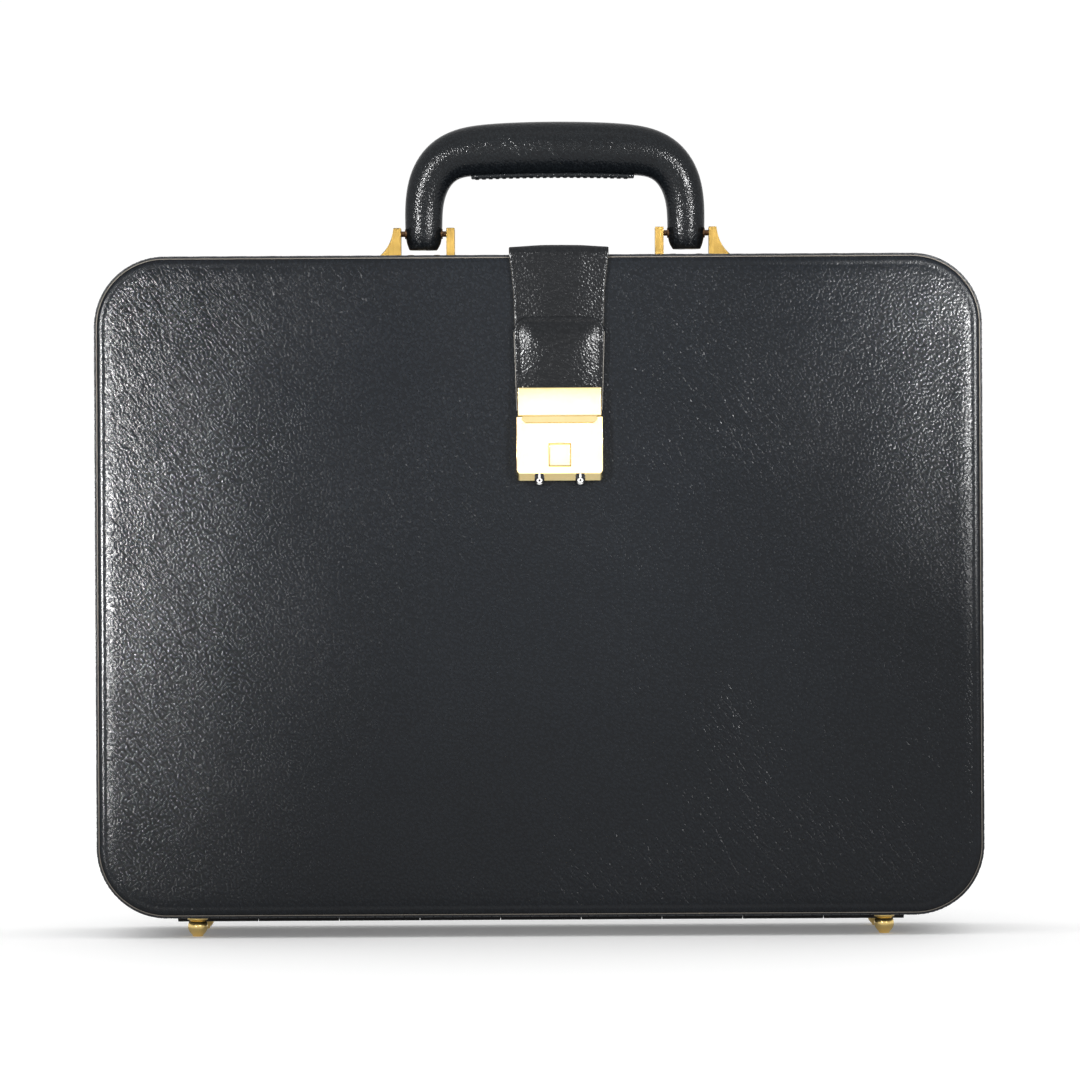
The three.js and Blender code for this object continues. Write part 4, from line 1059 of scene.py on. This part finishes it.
def number_wheel(side):
    low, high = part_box("dial_" + side)
    centre = Vector([(a + b) / 2 for a, b in zip(low, high)])
    radius = (high[2] - low[2]) / 2
    width = high[0] - low[0]
    only()
    bpy.ops.mesh.primitive_cylinder_add(
        vertices=WHEEL_FLATS, radius=radius, depth=width, rotation=(0, math.pi / 2, 0))
    wheel = settle(bpy.context.object)
    half_flat = 180 / WHEEL_FLATS
    turn = Matrix.Rotation(math.radians(-WHEEL_TILT_DEG - half_flat), 4, "X")
    wheel.data.transform(Matrix.Translation(centre) @ turn)
    wheel.name = "number_wheel_" + side
    flat_angles = []
    for face in wheel.data.polygons:
        if abs(face.normal.x) < 0.1:
            flat_angles.append(math.atan2(face.normal.z, -face.normal.y))
    pick(wheel, "FACE", lambda at, normal: abs(normal.x) > 0.9)
    bpy.ops.mesh.inset(thickness=0.8 * MM, depth=0)
    bpy.ops.mesh.inset(thickness=0.1 * MM, depth=-0.35 * MM)
    only(wheel)
    round_edges(wheel, 0.28 * MM, 2, 20)
    smooth(wheel, 30)
    fit(wheel, wheel_black, "number_wheel_" + side, "dial_black", "dial_" + side)
    wanted = math.radians(WHEEL_TILT_DEG)
    first = min(flat_angles, key=lambda angle: abs(angle - wanted))
    figures = []
    for number in range(WHEEL_FLATS):
        angle = first + 2 * math.pi * number / WHEEL_FLATS
        out = Vector((0, -math.cos(angle), math.sin(angle)))
        up = Vector((0, math.sin(angle), math.cos(angle)))
        only()
        bpy.ops.object.text_add()
        figure = bpy.context.object
        figure.data.body = str(number)
        figure.data.align_x = "CENTER"
        figure.data.align_y = "CENTER"
        figure.data.size = FIGURE_HEIGHT
        figure.data.offset = 0.07 * MM
        figure.data.extrude = 0.03 * MM
        figure.data.resolution_u = 3
        bpy.ops.object.convert(target="MESH")
        figure = bpy.context.object
        at = centre + out * (radius * math.cos(math.pi / WHEEL_FLATS) + 0.01 * MM)
        turn = Matrix((Vector((FIGURE_WIDEN, 0, 0)), up, out)).transposed().to_4x4()
        spots = [vertex.co for vertex in figure.data.vertices]
        middle = Vector([(min(s[i] for s in spots) + max(s[i] for s in spots)) / 2 for i in range(3)])
        figure.data.transform(Matrix.Translation(at) @ turn @ Matrix.Translation(-middle))
        figures.append(figure)
    only(*figures)
    bpy.ops.object.join()
    row = bpy.context.object
    row.name = "wheel_figures_" + side
    row.data.materials.clear()
    fit(row, figure_white, "number_wheel_" + side, "dial_black")


number_wheel("left")
number_wheel("right")


# ---------------------------------------------------------------------------------------------------------
# Handle: calf drawn wet over a bent core and closed along the underside of the grip, with a bush across
# the end of each arm for its pin.
# ---------------------------------------------------------------------------------------------------------

grip_low, grip_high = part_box("handle_grip")
pin_low, pin_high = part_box("handle_pin_left")
HANDLE_X = (grip_low[0] + grip_high[0]) / 2
HANDLE_Y = (grip_low[1] + grip_high[1]) / 2
PIN_Z = (pin_low[2] + pin_high[2]) / 2
# from the foot of the left arm to the middle of the grip: out from the middle, up from the pin, and width
HANDLE_RUN = [
    (65.6, -8.3, 12.5), (65.8, -7.4, 15.2), (65.9, -5.2, 17.2), (66.0, -1.5, 18.6), (66.0, 4, 19.0),
    (66.0, 11, 19.2), (65.4, 18, 19.8), (63.6, 25.5, 21.0), (59.9, 32.6, 22.4), (54.2, 37.9, 23.9),
    (46.8, 40.9, 25.1), (38, 42.1, 26.0), (26, 42.7, 26.5), (13, 43.0, 26.8), (0, 43.1, 26.9),
]
HANDLE_DEPTH_PART = 0.72


def make_handle():
    run = [(-x, z, w) for x, z, w in HANDLE_RUN] + [(x, z, w) for x, z, w in reversed(HANDLE_RUN[:-1])]
    places = [Vector((HANDLE_X + x * MM, HANDLE_Y, PIN_Z + z * MM)) for x, z, w in run]
    ways = []
    for index in range(len(run)):
        before = places[max(index - 1, 0)]
        after = places[min(index + 1, len(run) - 1)]
        ways.append(math.atan2(after.z - before.z, after.x - before.x))
    ways[0] = math.pi / 2
    ways[-1] = -math.pi / 2
    only()
    bpy.ops.mesh.primitive_circle_add(vertices=24, radius=0.5, fill_type="NGON", location=places[0])
    piece = bpy.context.object
    piece.name = "handle_leather"
    piece.scale = (run[0][2] * MM, run[0][2] * MM * HANDLE_DEPTH_PART, 1)
    settle(piece)
    pick_all(piece)
    for index in range(1, len(run)):
        extrude(places[index] - places[index - 1])
        bpy.ops.transform.rotate(
            value=ways[index] - ways[index - 1], orient_axis="Y", center_override=places[index])
        grow = run[index][2] / run[index - 1][2]
        bpy.ops.transform.resize(value=(grow, grow, grow), center_override=places[index])
    face_out(piece)
    round_edges(piece, 1.6 * MM, 3, 50)
    modify(piece, "SUBSURF", levels=2, render_levels=2)
    smooth(piece, 60)
    return piece


handle = make_handle()
calf_handle = leather(
    "black_calf_handle", (0.0015, 0.0018, 0.0024, 1), (0.006, 0.0075, 0.009, 1), cells=1000)
fit(handle, calf_handle, "handle", "leather", "handle_grip")

# the closing seam: a welt of the same calf along the underside of the grip, sewn through
SEAM_FROM = -42 * MM
SEAM_TO = 40 * MM
WELT_UP = 29.4 * MM
WELT_DEEP = 6.4 * MM
WELT_TALL = 2.2 * MM
WELT_SAG = 0.9 * MM
WELT_STITCH = 3.4 * MM
STITCH_UP = 28.28 * MM
STITCH_ASIDE = 2.1 * MM
only()
bpy.ops.mesh.primitive_cube_add(
    size=1, location=(HANDLE_X + (SEAM_FROM + SEAM_TO) / 2, HANDLE_Y, PIN_Z + WELT_UP))
welt = bpy.context.object
welt.name = "handle_welt"
welt.scale = (SEAM_TO - SEAM_FROM, WELT_DEEP, WELT_TALL)
settle(welt)
pick(welt, "EDGE", lambda at, way: abs(way.x) > 0.9)
bpy.ops.mesh.subdivide(number_cuts=12)
only(welt)
for vertex in welt.data.vertices:
    part = (vertex.co.x - HANDLE_X) / SEAM_FROM
    vertex.co.z -= WELT_SAG * part * part
round_edges(welt, 0.7 * MM, 3, 40)
smooth(welt, 50)
fit(welt, calf_handle, "handle", "leather")
welt_places = []
x = SEAM_FROM + 3 * MM
while x < SEAM_TO - 2 * MM:
    for side in (-1, 1):
        up = STITCH_UP - WELT_SAG * (x / SEAM_FROM) ** 2
        at = (HANDLE_X + x, HANDLE_Y + side * STITCH_ASIDE, PIN_Z + up)
        welt_places.append(frame_at(at, (1, 0, 0), (0, 0, -1)))
    x += WELT_STITCH
sew("handle_welt_stitches", one_stitch(2.4 * MM, 0.6 * MM), welt_places, "handle", waxed_thread)


# ---------------------------------------------------------------------------------------------------------
# Handle brackets: cast brass, brushed, each with a straight ear and a swept one and two countersunk
# screws down into the frame. The pins are darker bronze.
# ---------------------------------------------------------------------------------------------------------

# the brackets and their screws are a darker cast brass, and their colour is darkened further as painted
# shade, standing in for the dark room that the brass reflects
cast_brass_painted_shade = brass(
    "brushed_brass_painted_shade", (0.05, 0.026, 0.004, 1), (0.44, 0.29, 0.08, 1), 0.34, 0.9, lift=0.0001, fineness=1700)
bronze = brass("pin_bronze", (0.05, 0.028, 0.014, 1), (0.16, 0.09, 0.05, 1), 0.3, 0.4)
SLOT_WIDTH = 0.7 * MM
SLOT_DEPTH = 0.5 * MM
SLOT_REACH = 3 * MM
for side in ("left", "right"):
    softened("handle_bracket_" + side, "bracket_" + side, 0.35 * MM, "base", cast_brass_painted_shade, "brass", 2)
    for index in (1, 2):
        screw = softened(f"handle_screw_{side}_{index}", f"bracket_screw_{side}_{index}", 0.15 * MM, "base",
                         cast_brass_painted_shade, "brass", 2)
        low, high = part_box(f"bracket_screw_{side}_{index}")
        middle = (low + high) / 2
        cut(screw, (middle.x - SLOT_REACH, middle.y - SLOT_WIDTH / 2, high.z - SLOT_DEPTH),
            (middle.x + SLOT_REACH, middle.y + SLOT_WIDTH / 2, high.z + SLOT_DEPTH))
    coat(bronze, "handle_pin_" + side, "handle_bush_" + side)


# ---------------------------------------------------------------------------------------------------------
# Feet: turned brass balls under a dished collar, screwed up into the frame.
# ---------------------------------------------------------------------------------------------------------

def ball_foot(name, node, body):
    low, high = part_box(node)
    at = Vector([(a + b) / 2 for a, b in zip(low, high)])
    radius = (high[0] - low[0]) / 2
    only()
    bpy.ops.mesh.primitive_uv_sphere_add(
        segments=32, ring_count=20, radius=radius, location=(at.x, at.y, radius))
    foot = settle(bpy.context.object)
    foot.name = name
    pick_all(foot)
    bpy.ops.mesh.bisect(
        plane_co=(0, 0, 0.7 * MM), plane_no=(0, 0, -1), clear_outer=True, use_fill=True)
    bpy.ops.mesh.select_all(action="SELECT")
    bpy.ops.mesh.bisect(
        plane_co=(0, 0, high[2] - 1.9 * MM), plane_no=(0, 0, 1), clear_outer=True, use_fill=True)
    pick(foot, "FACE", lambda at, normal: normal.z > 0.99 and at.z > 0.007)
    top = Vector((at.x, at.y, high[2] - 1.9 * MM))
    extrude((0, 0, 0.2 * MM))
    bpy.ops.transform.resize(value=(1.28, 1.28, 1), center_override=top)
    extrude((0, 0, 0.8 * MM))
    bpy.ops.transform.resize(value=(1.06, 1.06, 1), center_override=top)
    extrude((0, 0, 0.9 * MM))
    bpy.ops.transform.resize(value=(0.86, 0.86, 1), center_override=top)
    only(foot)
    for vertex in foot.data.vertices:
        if vertex.co.z < 0.71 * MM:
            vertex.co.z = 0
    round_edges(foot, 0.18 * MM, 2, 35)
    smooth(foot, 35)
    fit(foot, foot_brass, body, "brass", node)


foot_brass = brass("foot_brass", (0.62, 0.42, 0.12, 1), (0.9, 0.7, 0.32, 1), 0.14, 0.4)
for side in ("left", "right"):
    ball_foot("ball_foot_front_" + side, "foot_front_" + side, "lid")
    ball_foot("ball_foot_back_" + side, "foot_back_" + side, "base")


# ---------------------------------------------------------------------------------------------------------
# Hinge: a long steel hinge, blacked, let in under the bottom edges of both halves and screwed to the frame.
# ---------------------------------------------------------------------------------------------------------

hinge_black, place = new_material("blacked_steel")
scale_marks = place.noise(420, 3)
finish_material(
    place, scale_marks, 0.00004, 1.0, Metallic=0.7, Roughness=scale_marks * 0.2 + 0.35,
    Base_Color=scale_marks.colours((0.008, 0.008, 0.009, 1), (0.03, 0.03, 0.032, 1)))
softened("hinge_base_leaf", "hinge_leaf_base", 0.2 * MM, "base", hinge_black, "hinge_black")
softened("hinge_lid_leaf", "hinge_leaf_lid", 0.2 * MM, "lid", hinge_black, "hinge_black")


# ---------------------------------------------------------------------------------------------------------
# Rivets: domed brass heads through each side wall and through the foot of the strap.
# ---------------------------------------------------------------------------------------------------------

for side in ("left", "right"):
    softened("wall_rivet_" + side, "side_rivet_" + side, 0.25 * MM, "base", foot_brass, "brass", 2, 50)
    softened("strap_foot_rivet_" + side, "strap_rivet_" + side, 0.45 * MM, "base", foot_brass, "brass", 3, 50)


# ---------------------------------------------------------------------------------------------------------
# Frames: each half is a bent and jointed wooden hoop, its planed edge showing inside the leather.
# ---------------------------------------------------------------------------------------------------------

FRAME_OUTSIDE = BAND_WALL
FRAME_INSIDE = 7.4 * MM


def hoop(name, node, body, outside, inside, y_from, y_to, material, slot):
    """A hoop in the case's outline between two insets, with its edges rounded over."""
    piece = outline_sheet(name, outside, max(y_from, y_to), 1)
    pick_all(piece)
    extrude((0, -abs(y_to - y_from), 0))
    pick(piece, "FACE", lambda at, normal: abs(normal.y) > 0.9)
    bpy.ops.mesh.delete(type="FACE")
    face_out(piece)
    modify(piece, "SOLIDIFY", thickness=inside - outside, offset=-1)
    round_edges(piece, 0.35 * MM, 2, 50)
    smooth(piece, 40)
    fit(piece, material, body, slot, node)
    return piece


beech, place = new_material("frame_beech")
ring_noise = place.turned((0, 0, 0), (1, 6, 1)).noise(60, 4, 0.6)
fleck = place.turned((0, 0, 0), (1, 0.2, 1)).noise(1500, 2)
finish_material(
    place, ring_noise * 0.6 + fleck * 0.4, 0.00008, 1.0, Roughness=ring_noise * 0.15 + 0.5,
    Base_Color=(ring_noise * 0.75 + fleck * 0.25).colours((0.28, 0.15, 0.07, 1), (0.62, 0.42, 0.24, 1)))
for half in ("base", "lid"):
    low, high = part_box(half + "_frame")
    hoop(half + "_hoop", half + "_frame", half, FRAME_OUTSIDE, FRAME_INSIDE, low[1], high[1],
         beech, "frame_wood")

grey_board, place = new_material("grey_board")
pulp = place.noise(700, 4, 0.7)
finish_material(
    place, pulp, 0.0001, 1.0, Roughness=pulp * 0.1 + 0.85,
    Base_Color=pulp.colours((0.18, 0.165, 0.15, 1), (0.34, 0.32, 0.29, 1)))
coat(grey_board, "base_board", "lid_board")


# ---------------------------------------------------------------------------------------------------------
# Linings: brown pigskin suede glued into both halves, a suede-covered dust lip that stands up from the base
# into the lid, and a stiff pocket on the lid with a sewn calf binding along its mouth.
# ---------------------------------------------------------------------------------------------------------

def suede(name, dark, light):
    material, place = new_material(name)
    nap = place.noise(1500, 3, 0.7)
    stroke = place.turned((0, 20, 0), (1, 1, 0.35)).noise(22, 3, 0.6)
    pores = pebble(place, 420)
    tint = (nap * 0.3 + stroke * 0.7).between(0.25, 0.75).colours(dark, light)
    finish_material(
        place, nap * 0.7 + pores * 0.3, 0.00018, 1.0, Base_Color=tint, Roughness=nap * 0.08 + 0.88,
        Sheen_Weight=0.35, Sheen_Roughness=0.5)
    return material


pigskin = suede("pigskin_suede", (0.10, 0.052, 0.026, 1), (0.21, 0.125, 0.07, 1))
LINING_WALL = 1.2 * MM


def lining(name, node, body, facing):
    """A tray that opens away from facing."""
    low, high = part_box(node)
    floor_y = high[1] if facing > 0 else low[1]
    piece = outline_sheet(name, FRAME_INSIDE, floor_y, facing)
    pick_all(piece)
    extrude((0, -facing * (high[1] - low[1]), 0))
    bpy.ops.mesh.delete(type="FACE")
    face_out(piece)
    modify(piece, "SOLIDIFY", thickness=LINING_WALL, offset=-1)
    round_edges(piece, 0.4 * MM, 2, 50)
    smooth(piece, 40)
    fit(piece, pigskin, body, "suede", node)


lining("base_suede_tray", "base_lining", "base", 1)
lining("lid_suede_tray", "lid_lining", "lid", -1)
lip_low, lip_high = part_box("dust_lip")
hoop("dust_lip_suede", "dust_lip", "base", FRAME_INSIDE + 0.3 * MM, FRAME_INSIDE + LINING_WALL,
     lip_low[1], lip_high[1], pigskin, "suede")
softened("lid_pocket_suede", "lid_pocket", 0.7 * MM, "lid", pigskin, "suede", 3)

pocket_low, pocket_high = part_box("lid_pocket")
POCKET_WALL = 1.6 * MM
BINDING_TALL = 9 * MM
BINDING_PROUD = 0.5 * MM
only()
bpy.ops.mesh.primitive_cube_add(
    size=1,
    location=(0, pocket_high[1] - POCKET_WALL / 2, pocket_high[2] - BINDING_TALL / 2 + BINDING_PROUD))
binding = bpy.context.object
binding.name = "pocket_binding"
binding.scale = (
    pocket_high[0] - pocket_low[0] + 2 * BINDING_PROUD, POCKET_WALL + 2 * BINDING_PROUD, BINDING_TALL)
settle(binding)
round_edges(binding, 0.6 * MM, 3, 40)
smooth(binding, 50)
fit(binding, calf_wall, "lid", "leather")
binding_places = []
x = pocket_low[0] + 2 * MM
while x < pocket_high[0] - 2 * MM:
    at = (x, pocket_high[1] + BINDING_PROUD, pocket_high[2] - BINDING_TALL + BINDING_PROUD + 1.8 * MM)
    binding_places.append(frame_at(at, (1, 0, 0), (0, 1, 0)))
    x += 3.2 * MM
sew("pocket_binding_stitches", one_stitch(2.4 * MM, 0.6 * MM), binding_places, "lid", waxed_thread)


# ---------------------------------------------------------------------------------------------------------
# Stays: flat brass quadrants that slide through a guide on each half and hold the lid open.
# ---------------------------------------------------------------------------------------------------------

for side in ("left", "right"):
    softened("quadrant_stay_" + side, "stay_" + side, 0.2 * MM, "stay_link_" + side, pale_brass, "brass")
    softened("quadrant_guide_base_" + side, "stay_guide_base_" + side, 0.2 * MM, "base", pale_brass, "brass")
    softened("quadrant_guide_lid_" + side, "stay_guide_lid_" + side, 0.2 * MM, "lid", pale_brass, "brass")
